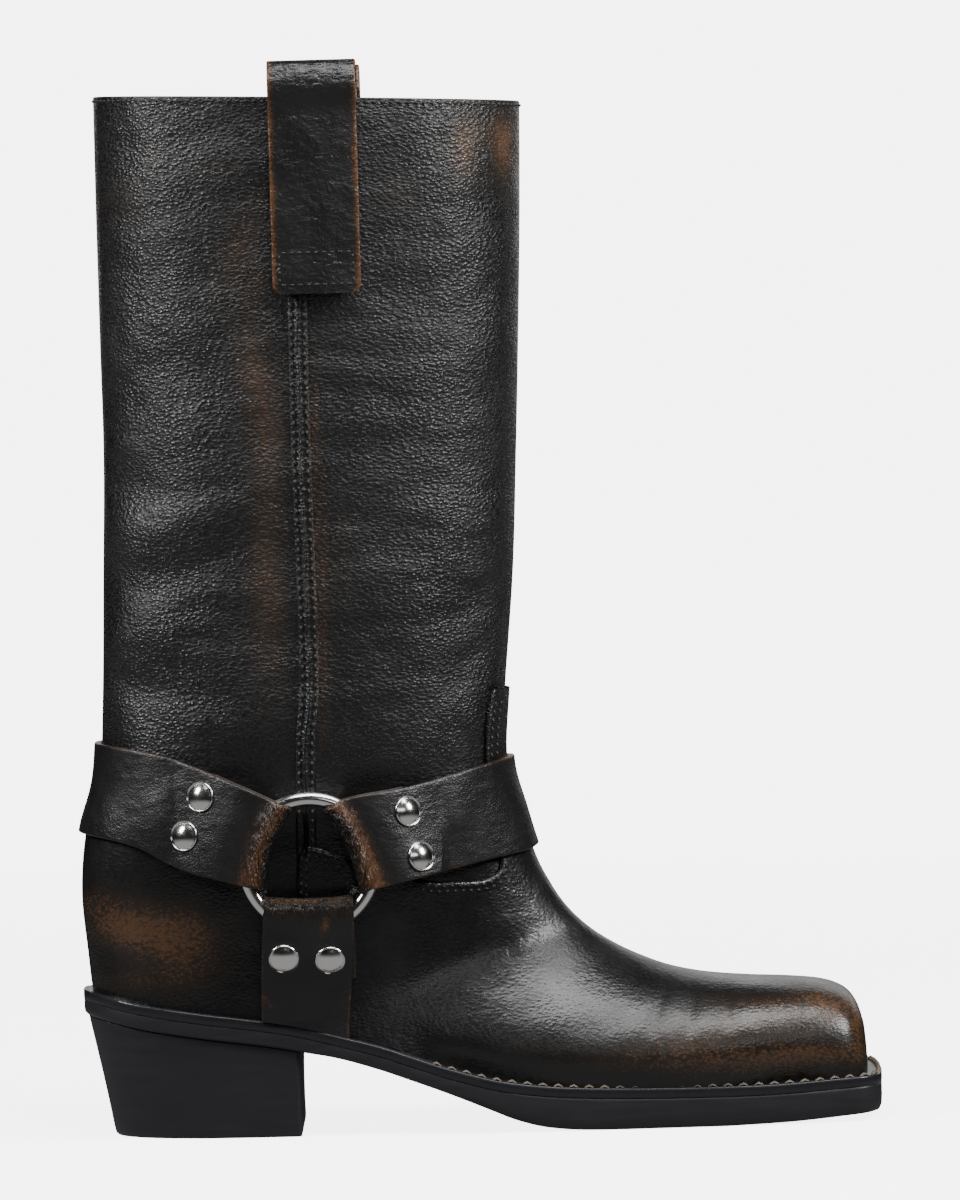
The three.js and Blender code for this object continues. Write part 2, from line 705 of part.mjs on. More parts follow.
// The folded end of a strap: a pillow over the ring's wire, which runs down to the strap's outer face
function foldedEnd(side, turn, width, inside) {
  const frame = ringFrame(side);
  const angle = THREE.MathUtils.degToRad(turn);
  const away = new THREE.Vector3(Math.cos(angle), 0, 0).addScaledVector(frame.up, Math.sin(angle));
  const across = away.clone().cross(frame.out);
  const faceAt = (distance, height) => {
    const place = frame.centre.clone().addScaledVector(away, foldSetback + distance);
    const skin = Math.abs(surfaceY(place.x, place.z, side)) - Math.abs(place.y);
    return skin + height;
  };
  const profile = [];
  for (let step = 0; step <= foldSteps; step += 1) {
    const bend = (Math.PI / 2) * (step / foldSteps);
    profile.push([foldRadius * (1 - Math.cos(bend)), foldRadius * Math.sin(bend)]);
  }
  profile.push([crestLength, foldRadius]);
  profile.push([doubledLength, faceAt(doubledLength, inside + 2 * strapThickness)]);
  profile.push([doubledLength + 2, faceAt(doubledLength + 2, inside + strapThickness - gap)]);
  const shape = new THREE.Shape([
    new THREE.Vector2(0, -foldDepth),
    ...profile.map(([distance, height]) => new THREE.Vector2(distance, height)),
    new THREE.Vector2(doubledLength + 2, -foldDepth),
  ].reverse());
  const geometry = new THREE.ExtrudeGeometry(shape, { depth: width, bevelEnabled: false });
  const basis = new THREE.Matrix4().makeBasis(away, frame.out, across.clone());
  const start = frame.centre.clone().addScaledVector(away, foldSetback).addScaledVector(across, -width / 2);
  geometry.applyMatrix4(basis.setPosition(start));
  const heightAt = (distance) => {
    let index = 0;
    while (index < profile.length - 2 && distance > profile[index + 1][0]) index += 1;
    const [a, b] = [profile[index], profile[index + 1]];
    const slope = (b[1] - a[1]) / (b[0] - a[0]);
    return { height: a[1] + slope * (distance - a[0]), slope };
  };
  return { solid: toSolid(geometry), frame, away, across, heightAt };
}

// A domed rivet on a folded end, and the shallow seat that it presses into the leather
function rivetOn(end, distance, aside) {
  const { height, slope } = end.heightAt(distance);
  const centre = end.frame.centre.clone().addScaledVector(end.away, foldSetback + distance)
    .addScaledVector(end.across, aside).addScaledVector(end.frame.out, height);
  const out = end.frame.out.clone().addScaledVector(end.away, -slope).normalize();
  const turn = new THREE.Quaternion().setFromUnitVectors(new THREE.Vector3(0, 1, 0), out);
  const profile = [new THREE.Vector2(0, -rivetRim), new THREE.Vector2(rivetRadius, -rivetRim)];
  for (let step = 0; step <= domeSteps; step += 1) {
    const bend = (Math.PI / 2) * (step / domeSteps);
    profile.push(new THREE.Vector2(
      step === domeSteps ? 0 : rivetRadius * Math.cos(bend),
      rivetRim / 2 + (rivetDome - rivetRim / 2) * Math.sin(bend),
    ));
  }
  const cap = new THREE.LatheGeometry(profile, rivetSides);
  const seat = new THREE.CylinderGeometry(rivetRadius + gap, rivetRadius + gap, seatCut, rivetSides);
  seat.translate(0, seatCut / 2 - rivetRim - gap, 0);
  for (const geometry of [cap, seat]) {
    geometry.applyQuaternion(turn);
    geometry.translate(centre.x, centre.y, centre.z);
  }
  return { cap: toSolid(cap), seat: toSolid(seat) };
}

// Straps: a band on the upper, folded ends with their rivets, and room for the rings
function strap(name, inside, outline, sideNames, turnOf, width, rivetList, firstRivet) {
  const reaches = sideNames.map(([, side]) => side * cutterHalf);
  const bandSides = [Math.min(0, ...reaches), Math.max(0, ...reaches)];
  let solid = layer(inside, strapThickness, outline, ...bandSides);
  const prism = sidePrism(outline, ...bandSides);
  const under = lastForm(inside);
  for (const [sideName, side] of sideNames) {
    const end = foldedEnd(side, turnOf, width, inside);
    solid = solid.add(end.solid.intersect(prism).subtract(under));
    rivetList.forEach(({ distance, aside }, index) => {
      const rivet = rivetOn(end, distance, aside * side);
      solid = solid.subtract(rivet.seat);
      addPiece(`rivet_${sideName}_${firstRivet + index}`, rivet.cap, ...chrome);
    });
    solid = solid.subtract(ringSolid(side, wireRadius + gap, ringSides, wireSides));
  }
  addPiece(name, solid, ...blackLeather);
}
const fromRing = (table) => table.map(({ along, up }) => [
  ringForward + along * strapWidth, ringUp + up * strapWidth,
]);

strap('strap_rear', gap, fromRing(rearStrapEdge), sides, rearTurn, strapWidth + 2, rearRivets, 1);
strap('strap_front', overVamp, fromRing(frontStrapEdge), sides, frontTurn, strapWidth + 2, frontRivets, 3);
for (const side of sides) {
  const outline = underStrapEdge.map(({ along, up, below }) => {
    const x = ringForward + along * underStrapWidth;
    return [x, below ? featherZ(x) + gap : ringUp - foldSetback * up];
  });
  const width = underStrapWidth + 2;
  strap(`strap_under_${side[0]}`, overVamp, outline, [side], underTurn, width, underRivets, 5);
}
for (const [name, side] of sides) {
  addPiece(`ring_${name}`, ringSolid(side, wireRadius, ringSides, wireSides), ...chrome);
}

// Pull straps: each goes up outside the collar, over it in a loop and down inside
for (const [name, side] of sides) {
  const path = [];
  const outside = overSeam + pullThickness / 2;
  const inside = -upperWall - gap - pullThickness / 2;
  const collar = collarAt(pullForward);
  for (const share of [1, 0.75, 0.5, 0.25, 0]) path.push([outside, collar - pullDrop * share]);
  const middle = (outside + inside) / 2;
  const spread = (pullLoopGap + pullThickness) / 2;
  const archRise = pullRise - loopShoulder - pullThickness / 2;
  for (let step = 0; step <= loopBends; step += 1) {
    const bend = Math.PI * (step / loopBends);
    path.push([middle + spread * Math.cos(bend), collar + loopShoulder + archRise * Math.sin(bend)]);
  }
  for (const share of [0, 0.35, 0.7, 1]) path.push([inside, collar - pullInsideDrop * share]);
  const halves = [-0.5, -0.25, 0, 0.25, 0.5];
  const points = [];
  path.forEach(([offset, z], index) => {
    const before = path[Math.max(index - 1, 0)];
    const after = path[Math.min(index + 1, path.length - 1)];
    const along = new THREE.Vector2(after[0] - before[0], after[1] - before[1]).normalize();
    for (const face of [0.5, -0.5]) {
      for (const half of halves) {
        const x = pullForward + half * pullWidth;
        const skin = surfaceY(x, Math.min(z, collar), side);
        const out = offset + face * pullThickness * along.y;
        points.push(new THREE.Vector3(x, skin + side * out, z - face * pullThickness * along.x));
      }
    }
  });
  const triangles = [];
  const ring = [0, 1, 2, 3, 4, 9, 8, 7, 6, 5];
  for (let index = 0; index < path.length - 1; index += 1) {
    ring.forEach((corner, step) => {
      const a = index * 10 + corner;
      const b = index * 10 + ring[(step + 1) % 10];
      if (side < 0) triangles.push(a, b, a + 10, b, b + 10, a + 10);
      else triangles.push(a, a + 10, b, b, a + 10, b + 10);
    });
  }
  const end = (path.length - 1) * 10;
  for (let half = 0; half < 4; half += 1) {
    const [a, b, c, d] = [half, half + 1, half + 6, half + 5];
    const faces = [a, c, b, a, d, c, end + a, end + b, end + c, end + a, end + c, end + d];
    if (side > 0) faces.reverse();
    triangles.push(...faces);
  }
  addPiece(`pull_strap_${name}`, toSolid(closedGeometry(points, triangles)), ...blackLeather);
}

boot.position.set(-originForward, 0, 0);
export default boot;
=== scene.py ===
import math
import bmesh
import bpy
import numpy as np
from mathutils import Matrix, Vector
from mathutils.kdtree import KDTree


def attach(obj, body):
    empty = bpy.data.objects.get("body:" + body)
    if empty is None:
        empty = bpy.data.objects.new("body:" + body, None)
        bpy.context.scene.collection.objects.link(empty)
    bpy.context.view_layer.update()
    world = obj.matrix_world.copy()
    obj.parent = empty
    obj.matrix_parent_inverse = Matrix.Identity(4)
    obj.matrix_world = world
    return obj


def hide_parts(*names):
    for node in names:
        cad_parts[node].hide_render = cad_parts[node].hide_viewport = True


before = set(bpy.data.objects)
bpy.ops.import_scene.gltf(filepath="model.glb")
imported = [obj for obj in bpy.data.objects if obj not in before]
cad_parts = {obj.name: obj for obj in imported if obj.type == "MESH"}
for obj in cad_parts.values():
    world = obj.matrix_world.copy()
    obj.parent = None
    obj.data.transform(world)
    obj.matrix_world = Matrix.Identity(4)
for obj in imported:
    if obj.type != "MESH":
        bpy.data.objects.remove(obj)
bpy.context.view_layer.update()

# The photograph's view, in millimetres of the boot's middle plane (X from the heel's back, Z from the floor)
view = {
    "millimetresPerPixel": 0.3552,
    "heelBackPixel": 86.0,
    "floorPixel": 1128.8,
    "imageMiddle": (480.0, 600.0),
    "horizonPixel": 239.0,
    "distance": 3000.0,
    "turnDegrees": 1.6,
    "turnAbout": 76.0,
    "originForward": 45.0,
    "sensorHeight": 36.0,
    "sight": 50.0,
}


def photoPoint(pixelX, pixelY, depth=0.0):
    # A place in the photograph as a point of the standing boot, in metres: scaled, then turned about the
    # heel
    turn = math.radians(view["turnDegrees"])
    x = (pixelX - view["heelBackPixel"]) * view["millimetresPerPixel"] - view["turnAbout"]
    z = (view["floorPixel"] - pixelY) * view["millimetresPerPixel"]
    forward = view["turnAbout"] + x * math.cos(turn) + z * math.sin(turn) - view["originForward"]
    up = -x * math.sin(turn) + z * math.cos(turn)
    return Vector((forward / 1000, depth / 1000, up / 1000))


def makeCamera():
    camera = bpy.data.objects.new("photoCamera", bpy.data.cameras.new("photoCamera"))
    bpy.context.scene.collection.objects.link(camera)
    place = photoPoint(view["imageMiddle"][0], view["horizonPixel"], -view["distance"])
    target = photoPoint(*view["imageMiddle"])
    turn = math.radians(view["turnDegrees"])
    forward = (target - place).normalized()
    right = forward.cross(Vector((math.sin(turn), 0, math.cos(turn)))).normalized()
    up = right.cross(forward)
    matrix = Matrix((right, up, -forward)).transposed().to_4x4()
    matrix.translation = place
    camera.matrix_world = matrix
    # Lens = sensor height * distance / height of the photograph's frame at the boot
    frameHeight = 2 * view["imageMiddle"][1] * view["millimetresPerPixel"]
    camera.data.sensor_fit = "VERTICAL"
    camera.data.sensor_height = view["sensorHeight"]
    camera.data.lens = view["sensorHeight"] * (target - place).length * 1000 / frameHeight
    camera.data.clip_end = view["sight"]
    bpy.context.scene.camera = camera
    print("camera, lens", round(camera.data.lens, 1))


makeCamera()

# Sizes of the last and its fittings, in millimetres, as the solids have them
last = {
    "footLength": 275.5,
    "ballHalfWidth": 45.0,
    "instepHeight": 155.0,
    "ankleHeight": 155.0,
    "collarHeight": 368.0,
    "collarSlope": 5.5,
    "shaftDepth": 150.0,
    "shaftHalfWidth": 50.0,
    "seatHeight": 52.3,
    "treadHeight": 14.2,
    "wall": 2.2,
    "gap": 0.3,
    "seatGap": 0.5,
    "toeRound": 1.2,
}

# Sections of the shaft: up, back, front, half, top power, base power
shaftRows = np.array([
    [1.07, 0.087, 1.096, 1.00, 2.20, 2.2],
    [1.00, 0.087, 1.094, 1.00, 2.20, 2.2],
    [0.80, 0.086, 1.087, 0.99, 2.20, 2.2],
    [0.60, 0.0865, 1.076, 0.97, 2.15, 2.2],
    [0.40, 0.087, 1.063, 0.93, 2.10, 2.2],
    [0.20, 0.078, 1.048, 0.87, 2.05, 2.2],
    [0.00, 0.068, 1.022, 0.805, 2.00, 2.2],
])

# Sections of the foot: low X, low Z, high X, high Z, outer, inner, wide, top power, base power
footRows = np.array([
    [0.0300, 0.820, 0.551, 0.835, 0.865, 0.865, 0.50, 2.10, 2.4],
    [0.0105, 0.695, 0.567, 0.714, 0.840, 0.840, 0.48, 2.10, 2.5],
    [0.0030, 0.560, 0.584, 0.612, 0.820, 0.800, 0.46, 2.00, 2.5],
    [0.0080, 0.430, 0.601, 0.548, 0.790, 0.760, 0.44, 1.95, 2.5],
    [0.0170, 0.290, 0.619, 0.497, 0.770, 0.730, 0.43, 1.90, 2.6],
    [0.0400, 0.130, 0.639, 0.457, 0.760, 0.700, 0.42, 1.85, 2.7],
    [0.1500, 0.060, 0.662, 0.423, 0.780, 0.700, 0.42, 1.85, 2.9],
    [0.3000, 0.015, 0.690, 0.392, 0.830, 0.750, 0.42, 1.85, 3.2],
    [0.4400, -0.020, 0.721, 0.365, 0.890, 0.860, 0.42, 1.90, 3.6],
    [0.5700, -0.030, 0.758, 0.340, 0.940, 0.980, 0.40, 2.00, 4.0],
    [0.6900, -0.030, 0.803, 0.322, 0.950, 1.020, 0.40, 2.15, 4.0],
    [0.8000, -0.030, 0.858, 0.311, 0.910, 0.980, 0.42, 2.40, 4.0],
    [0.8920, -0.030, 0.912, 0.305, 0.830, 0.900, 0.45, 2.60, 4.0],
    [0.9500, -0.030, 0.954, 0.296, 0.770, 0.830, 0.46, 2.80, 4.0],
    [0.9800, -0.030, 0.980, 0.278, 0.720, 0.780, 0.46, 3.00, 4.0],
    [0.9940, -0.028, 0.993, 0.251, 0.640, 0.700, 0.47, 3.00, 4.0],
    [1.0000, -0.022, 1.000, 0.212, 0.540, 0.590, 0.48, 3.00, 4.0],
])
footScale = np.array([last["footLength"], last["instepHeight"], last["footLength"], last["instepHeight"],
                      last["ballHalfWidth"], last["ballHalfWidth"], 1, 1, 1])
shaftRise = last["collarHeight"] - last["ankleHeight"]
shaftLevels = np.stack([
    last["shaftDepth"] * shaftRows[:, 1],
    last["ankleHeight"] + shaftRows[:, 0] * shaftRise,
    last["shaftDepth"] * shaftRows[:, 2],
    last["ankleHeight"] + shaftRows[:, 0] * (shaftRise - last["collarSlope"]),
    last["shaftHalfWidth"] * shaftRows[:, 3],
    last["shaftHalfWidth"] * shaftRows[:, 3],
    np.full(len(shaftRows), 0.5),
    shaftRows[:, 4],
    shaftRows[:, 5],
], axis=1)
levels = np.vstack([shaftLevels, footRows * footScale])
lastLevel = len(levels) - 1

# The feather line's rise from tread to seat, in shares, along the foot's length
featherRows = np.array([
    [-0.05, 1.02], [0.00, 1.00], [0.075, 0.885], [0.155, 0.794], [0.232, 0.718], [0.282, 0.653],
    [0.333, 0.559], [0.384, 0.462], [0.425, 0.360], [0.467, 0.253], [0.501, 0.180], [0.535, 0.115],
    [0.593, 0.055], [0.660, 0.022], [0.762, 0.003], [0.864, 0.002], [0.915, 0.015], [1.00, 0.045],
    [1.05, 0.065],
])


def smoothCurve(rows, place):
    # Value of a table at places along its first column: a cubic between rows, with slopes from their
    # neighbours
    key, value = rows[:, 0], rows[:, 1]
    slope = np.empty(len(rows))
    slope[1:-1] = (value[2:] - value[:-2]) / (key[2:] - key[:-2])
    slope[0] = (value[1] - value[0]) / (key[1] - key[0])
    slope[-1] = (value[-1] - value[-2]) / (key[-1] - key[-2])
    row = np.clip(np.searchsorted(key, place) - 1, 0, len(rows) - 2)
    step = key[row + 1] - key[row]
    t = (place - key[row]) / step
    inside = ((2 * t**3 - 3 * t**2 + 1) * value[row] + (t**3 - 2 * t**2 + t) * slope[row] * step
              + (3 * t**2 - 2 * t**3) * value[row + 1] + (t**3 - t**2) * slope[row + 1] * step)
    before = value[row] + slope[row] * (place - key[row])
    after = value[row + 1] + slope[row + 1] * (place - key[row + 1])
    return np.where(t < 0, before, np.where(t > 1, after, inside))


def featherZ(x):
    rise = smoothCurve(featherRows, np.asarray(x) / last["footLength"])
    return last["treadHeight"] + rise * (last["seatHeight"] - last["treadHeight"])


def smoothStep(low, high, value):
    # 0 below low, 1 above high, and a soft S between them
    t = np.clip((value - low) / (high - low), 0, 1)
    return t * t * (3 - 2 * t)


def basePoint(place, angle):
    # Smooth last: at each place the nine section facts come from a cubic through four rows; the angle then
    # runs round the section as a superellipse, 0 at its high end. Past the last row the toe closes to its
    # middle.
    place, angle = np.broadcast_arrays(np.asarray(place, float), np.asarray(angle, float))
    inPlace = np.clip(place, 0, lastLevel - 1e-6)
    row = np.minimum(inPlace.astype(int), lastLevel - 1)
    t = (inPlace - row)[..., None]
    a, b = levels[np.maximum(row - 1, 0)], levels[row]
    c, d = levels[row + 1], levels[np.minimum(row + 2, lastLevel)]
    fact = b + t * ((c - a) / 2 + t * (a - 2.5 * b + 2 * c - 0.5 * d + t * (1.5 * (b - c) + 0.5 * (d - a))))
    up, side = np.cos(angle), np.sin(angle)
    wide = fact[..., 6]
    power = np.where(up >= 0, fact[..., 7], fact[..., 8])
    reach = np.where(up >= 0, 1 - wide, -wide)
    share = wide + reach * np.abs(up) ** (2 / power)
    width = np.where(side >= 0, fact[..., 5], -fact[..., 4])
    y = width * np.abs(side) ** (2 / power)
    close = np.clip(place - lastLevel, 0, 1)
    share = share + (wide - share) * close
    y = y * (1 - close)
    x = fact[..., 0] + share * (fact[..., 2] - fact[..., 0]) + last["toeRound"] * (1 - (1 - close) ** 2)
    z = fact[..., 1] + share * (fact[..., 3] - fact[..., 1])
    return np.stack([x, y, z], axis=-1)


def surfaceNormal(place, angle, pointAt):
    # Outward direction: the cross product of the steps down the last and round it
    stepPlace, stepAngle = 0.02, 0.01
    down = pointAt(np.minimum(place + stepPlace, lastLevel + 0.98), angle) - pointAt(place - stepPlace, angle)
    turn = pointAt(place, angle + stepAngle) - pointAt(place, angle - stepAngle)
    normal = np.cross(down, turn)
    return normal / np.maximum(np.linalg.norm(normal, axis=-1, keepdims=True), 1e-9)


# Main creases and soft hollows: side-view middle, half sizes, tilt in degrees, depth in mm
# and the side they are on (-1 outer, 1 inner, 0 both). Positive depth is a hollow. They fade out towards the
# middle plane over creaseFree.
creases = [
    (22, 232, 30, 9, -6, 1.6, 0), (20, 214, 26, 8, 8, -1.4, 0), (24, 196, 30, 8, 14, 1.5, 0),
    (22, 180, 26, 8, 4, -1.4, 0), (26, 160, 30, 8, -8, 1.7, 0), (30, 262, 34, 12, 10, 1.1, 0),
    (120, 300, 34, 16, 30, 0.8, 0), (60, 300, 30, 18, -20, 0.7, 0), (118, 236, 30, 14, -18, 0.7, 0),
    (146, 185, 14, 7, 20, 0.9, 0), (143, 168, 10, 5, 30, 1.0, 0), (136, 157, 10, 4, 35, 0.7, 0),
    (160, 108, 15, 3.4, -52, 1.0, 0), (168, 96, 16, 3.2, -48, 0.9, 0), (177, 87, 15, 3.2, -42, 0.7, 0),
    (205, 44, 15, 2.6, 66, 0.5, 0), (216, 42, 15, 2.6, 74, 0.5, 0), (228, 40, 14, 2.8, 82, 0.45, 0),
]

creaseFree = (6, 30)
# Where the forefoot's skin tucks in above the welt, so that the welt's stitches show (mm)
tuckSettings = {"depth": 4.4, "reach": 7.5, "start": (108, 140), "end": (254, 274)}


def ovalShares(x, z, middleX, middleZ, long, short, tilt):
    # Side-view points in a turned oval's own directions, in its half sizes
    turn = math.radians(tilt)
    along = ((x - middleX) * math.cos(turn) + (z - middleZ) * math.sin(turn)) / long
    across = (-(x - middleX) * math.sin(turn) + (z - middleZ) * math.cos(turn)) / short
    return along, across


def relief(points):
    # Height of the listed creases: each is a soft bell, long one way and narrow the other, so that a
    # hollow is a trough and a negative depth a ridge. The tuck is a bell over the rise above the welt.
    x, y, z = points[..., 0], points[..., 1], points[..., 2]
    height = np.zeros(x.shape)
    for middleX, middleZ, long, short, tilt, depth, side in creases:
        along, across = ovalShares(x, z, middleX, middleZ, long, short, tilt)
        bell = depth * np.exp(-along**2 - across**2)
        if side:
            bell = bell * smoothStep(-8, 8, y * side)
        height -= bell
    tuck = tuckSettings["depth"] * np.exp(-((z - featherZ(x)) / tuckSettings["reach"]) ** 2)
    tuck = tuck * smoothStep(*tuckSettings["start"], x) * (1 - smoothStep(*tuckSettings["end"], x))
    return (height - tuck) * smoothStep(*creaseFree, np.abs(y))


def skinPoint(place, angle):
    # The last with its creases: each point moves along the smooth last's normal by the relief
    points = basePoint(place, angle)
    normal = surfaceNormal(place, angle, basePoint)
    return points + normal * relief(points)[..., None]


def skinAt(place, angle, height):
    # A point a set height outside the creased skin
    normal = surfaceNormal(place, angle, basePoint)
    height = np.asarray(height)
    return skinPoint(place, angle) + normal * height[..., None]


def featherPlace(angle):
    # Where each line round the last meets the feather line, by halving
    low = np.full(angle.shape, 1.0)
    high = np.full(angle.shape, lastLevel + 1.0)
    for _ in range(40):
        middle = (low + high) / 2
        point = basePoint(middle, angle)
        above = point[..., 2] > featherZ(point[..., 0]) + last["seatGap"]
        low = np.where(above, middle, low)
        high = np.where(above, high, middle)
    return low


def toFrame(points):
    # Millimetres from the heel's back to metres in the part's frame
    moved = np.array(points, float)
    moved[..., 0] -= view["originForward"]
    return moved / 1000


def makeMesh(name, points, faces, material, replaces=(), smoothAngle=40.0, attributes=None):
    # One object at the origin, from millimetre points and a list or array of faces
    mesh = bpy.data.meshes.new(name)
    mesh.from_pydata(toFrame(np.asarray(points).reshape(-1, 3)).tolist(), [],
                     [list(map(int, f)) for f in faces])
    for key, values in (attributes or {}).items():
        layer = mesh.attributes.new(key, "FLOAT", "POINT")
        layer.data.foreach_set("value", np.asarray(values, np.float32).ravel())
    mesh.polygons.foreach_set("use_smooth", np.ones(len(mesh.polygons), bool))
    mesh.set_sharp_from_angle(angle=math.radians(smoothAngle))
    mesh.materials.append(material)
    piece = bpy.data.objects.new(name, mesh)
    bpy.context.scene.collection.objects.link(piece)
    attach(piece, "root")
    if replaces:
        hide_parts(*replaces)
    print(name, len(mesh.polygons), "faces")
    return piece


def gridFaces(rows, columns, closed=False, flip=False):
    # Quads of a grid whose points run row by row; closed joins the last column to the first
    index = np.arange(rows * columns).reshape(rows, columns)
    if closed:
        index = np.hstack([index, index[:, :1]])
    a, b = index[:-1, :-1], index[:-1, 1:]
    c, d = index[1:, 1:], index[1:, :-1]
    faces = np.stack([a, d, c, b], axis=-1).reshape(-1, 4)
    return faces[:, ::-1] if flip else faces


def gridPlaces(angles, rows, start=1.0):
    # Places down each line from a start to the toe's end, evenly spaced by the length of the line
    share = np.linspace(0, 1, 700)
    dense = start + (lastLevel + 0.97 - start) * share[:, None] + 0 * angles[None, :]
    points = basePoint(dense, np.broadcast_to(angles, dense.shape))
    length = np.vstack([np.zeros(len(angles)),
                        np.cumsum(np.linalg.norm(np.diff(points, axis=0), axis=-1), axis=0)])
    wanted = np.linspace(0, 1, rows)
    return np.stack([np.interp(wanted * length[-1, i], length[:, i],
                               dense[:, i]) for i in range(len(angles))], axis=1)


def cutPatch(places, angles, inside, closed=False):
    # Part of a grid on the last where inside is positive: whole cells as they are, and cells on the border
    # clipped where inside runs through zero along their sides
    rows, columns = places.shape
    turned = np.broadcast_to(angles, places.shape)
    spots = list(zip(places.ravel().tolist(), turned.ravel().tolist(), inside.ravel().tolist()))
    index = np.arange(rows * columns).reshape(rows, columns)
    if closed:
        index = np.hstack([index, index[:, :1]])
    cells = np.stack([index[:-1, :-1], index[1:, :-1], index[1:, 1:], index[:-1, 1:]], axis=-1).reshape(-1, 4)
    held = (inside >= 0).ravel()[cells]
    whole, clipped = held.all(axis=1), held.any(axis=1) & ~held.all(axis=1)
    faces, border, cuts = cells[whole].tolist(), [], {}

    def cut(a, b):
        key = (min(a, b), max(a, b))
        if key not in cuts:
            low, high = spots[key[0]], spots[key[1]]
            share = low[2] / (low[2] - high[2])
            first, second = low[1], high[1]
            if second - first > math.pi:
                first += 2 * math.pi
            if first - second > math.pi:
                second += 2 * math.pi
            spots.append((low[0] + (high[0] - low[0]) * share, first + (second - first) * share, 0.0))
            cuts[key] = len(spots) - 1
        return cuts[key]

    for corners, kept in zip(cells[clipped].tolist(), held[clipped].tolist()):
        loop, leaving, entering = [], None, None
        for i, here in enumerate(corners):
            following = (i + 1) % 4
            if kept[i]:
                loop.append(here)
            if kept[i] != kept[following]:
                loop.append(cut(here, corners[following]))
                if kept[i]:
                    leaving = loop[-1]
                else:
                    entering = loop[-1]
        if len(loop) > 2:
            faces.append(loop)
            border.append((leaving, entering))
    used = sorted({i for face in faces for i in face})
    fresh = {old: new for new, old in enumerate(used)}
    place, angle, depth = (np.array([spots[i][k] for i in used]) for k in range(3))
    faces = [[fresh[i] for i in face] for face in faces]
    border = [(fresh[a], fresh[b]) for a, b in border]
    return place, angle, depth, faces, border, fresh


upperSettings = {"columns": 176, "rows": 330, "liningRows": 120, "edgeRound": 0.5, "tuck": 0.4}


def makeUpper(material):
    # Foot and shaft: a grid down the last, cut at the welt, a rounded collar edge, and the lining inside
    points, faces, inner = [], [], []
    collar = {}
    wall, edge, columns = last["wall"], upperSettings["edgeRound"], upperSettings["columns"]
    angles = np.linspace(0, 2 * math.pi, columns, endpoint=False)
    for height, rows, lining in ((0.0, "rows", False), (-wall, "liningRows", True)):
        places = gridPlaces(angles, upperSettings[rows])
        base = basePoint(places, angles[None, :])
        above = base[..., 2] - featherZ(base[..., 0]) + upperSettings["tuck"]
        place, angle, _, patch, _, fresh = cutPatch(places, angles, above, True)
        skin = skinAt(place, angle, np.full(place.shape, height))
        top = [fresh[c] for c in range(columns)]
        skin[top, 2] -= edge
        start = sum(len(p) for p in points)
        faces += [[i + start for i in (face[::-1] if lining else face)] for face in patch]
        collar[lining] = np.array(top) + start
        points.append(skin)
        inner.append(np.full(len(skin), 1.0 if lining else 0.0))
    rings = [collar[False]]
    for inset, drop in ((-edge * 0.2, edge * 0.3), (-edge, 0), (-wall + edge, 0),
                        (-wall + edge * 0.2, edge * 0.3)):
        rim = skinAt(np.full(columns, 1.0), angles, np.full(columns, inset))
        rim[:, 2] -= drop
        rings.append(sum(len(p) for p in points) + np.arange(columns))
        points.append(rim)
        inner.append(np.full(columns, 0.5))
    rings.append(collar[True])
    for first, second in zip(rings[:-1], rings[1:]):
        faces += np.stack([first, np.roll(first, -1), np.roll(second, -1), second], axis=1).tolist()
    return makeMesh("upperLeather", np.vstack(points), faces, material, ["upper"], 60,
                    {"lining": np.concatenate(inner)})


# Sole: outlines in plan are the feather edge moved out along its own normal
soleSettings = {
    "weltThickness": 3.6, "weltProud": 6.4, "flankProud": 3.6, "heelProud": 3.2, "toeBulge": 0.2,
    "toeHalfWidth": 34, "outsoleInset": 0.1, "outsoleSeat": 5.0, "joint": 0.09, "archHeight": 30.0,
    "toeSpring": 3.2, "heelBreast": 77.5, "heelBackSlant": 8.5, "heelInset": 1.5, "heelSideTaper": 3.0,
    "heelCorner": 1.2, "points": 420,
}
# The outsole's underside along the foot's length: shares of the arch's height, then of the toe's spring
archRows = np.array([
    [0.285, 1.00], [0.332, 0.916], [0.383, 0.78], [0.425, 0.64], [0.466, 0.495], [0.500, 0.365],
    [0.529, 0.25], [0.555, 0.15], [0.590, 0.06], [0.635, 0.012], [0.690, 0.0],
])
toeRows = np.array([[0.826, 0.0], [0.889, 0.18], [0.940, 0.42], [0.991, 0.74], [1.04, 1.1]])


def outsoleBottomZ(x):
    along = np.asarray(x) / last["footLength"]
    breast = soleSettings["heelBreast"] / last["footLength"]
    waist = soleSettings["archHeight"] * smoothCurve(archRows, np.maximum(along, breast))
    topAtBreast = featherZ(soleSettings["heelBreast"]) - soleSettings["weltThickness"] - last["gap"]
    waistAtBreast = soleSettings["archHeight"] * smoothCurve(archRows, np.array(breast))
    seat = soleSettings["outsoleSeat"]
    thickness = seat + (topAtBreast - waistAtBreast - seat) * np.clip(along / breast, 0, 1)
    underHeel = featherZ(x) - soleSettings["weltThickness"] - last["gap"] - thickness
    toe = soleSettings["toeSpring"] * smoothCurve(toeRows, along)
    front = np.where(along < toeRows[0, 0], 0, toe)
    return np.where(along <= breast, underHeel, np.where(along < archRows[-1, 0], waist, front))


def resampleLoop(loop, count):
    # A closed plan outline with its points evenly spaced by length
    closed = np.vstack([loop, loop[:1]])
    length = np.concatenate([[0], np.cumsum(np.linalg.norm(np.diff(closed, axis=0), axis=1))])
    wanted = np.linspace(0, length[-1], count, endpoint=False)
    return np.stack([np.interp(wanted, length, closed[:, i]) for i in range(2)], axis=1)


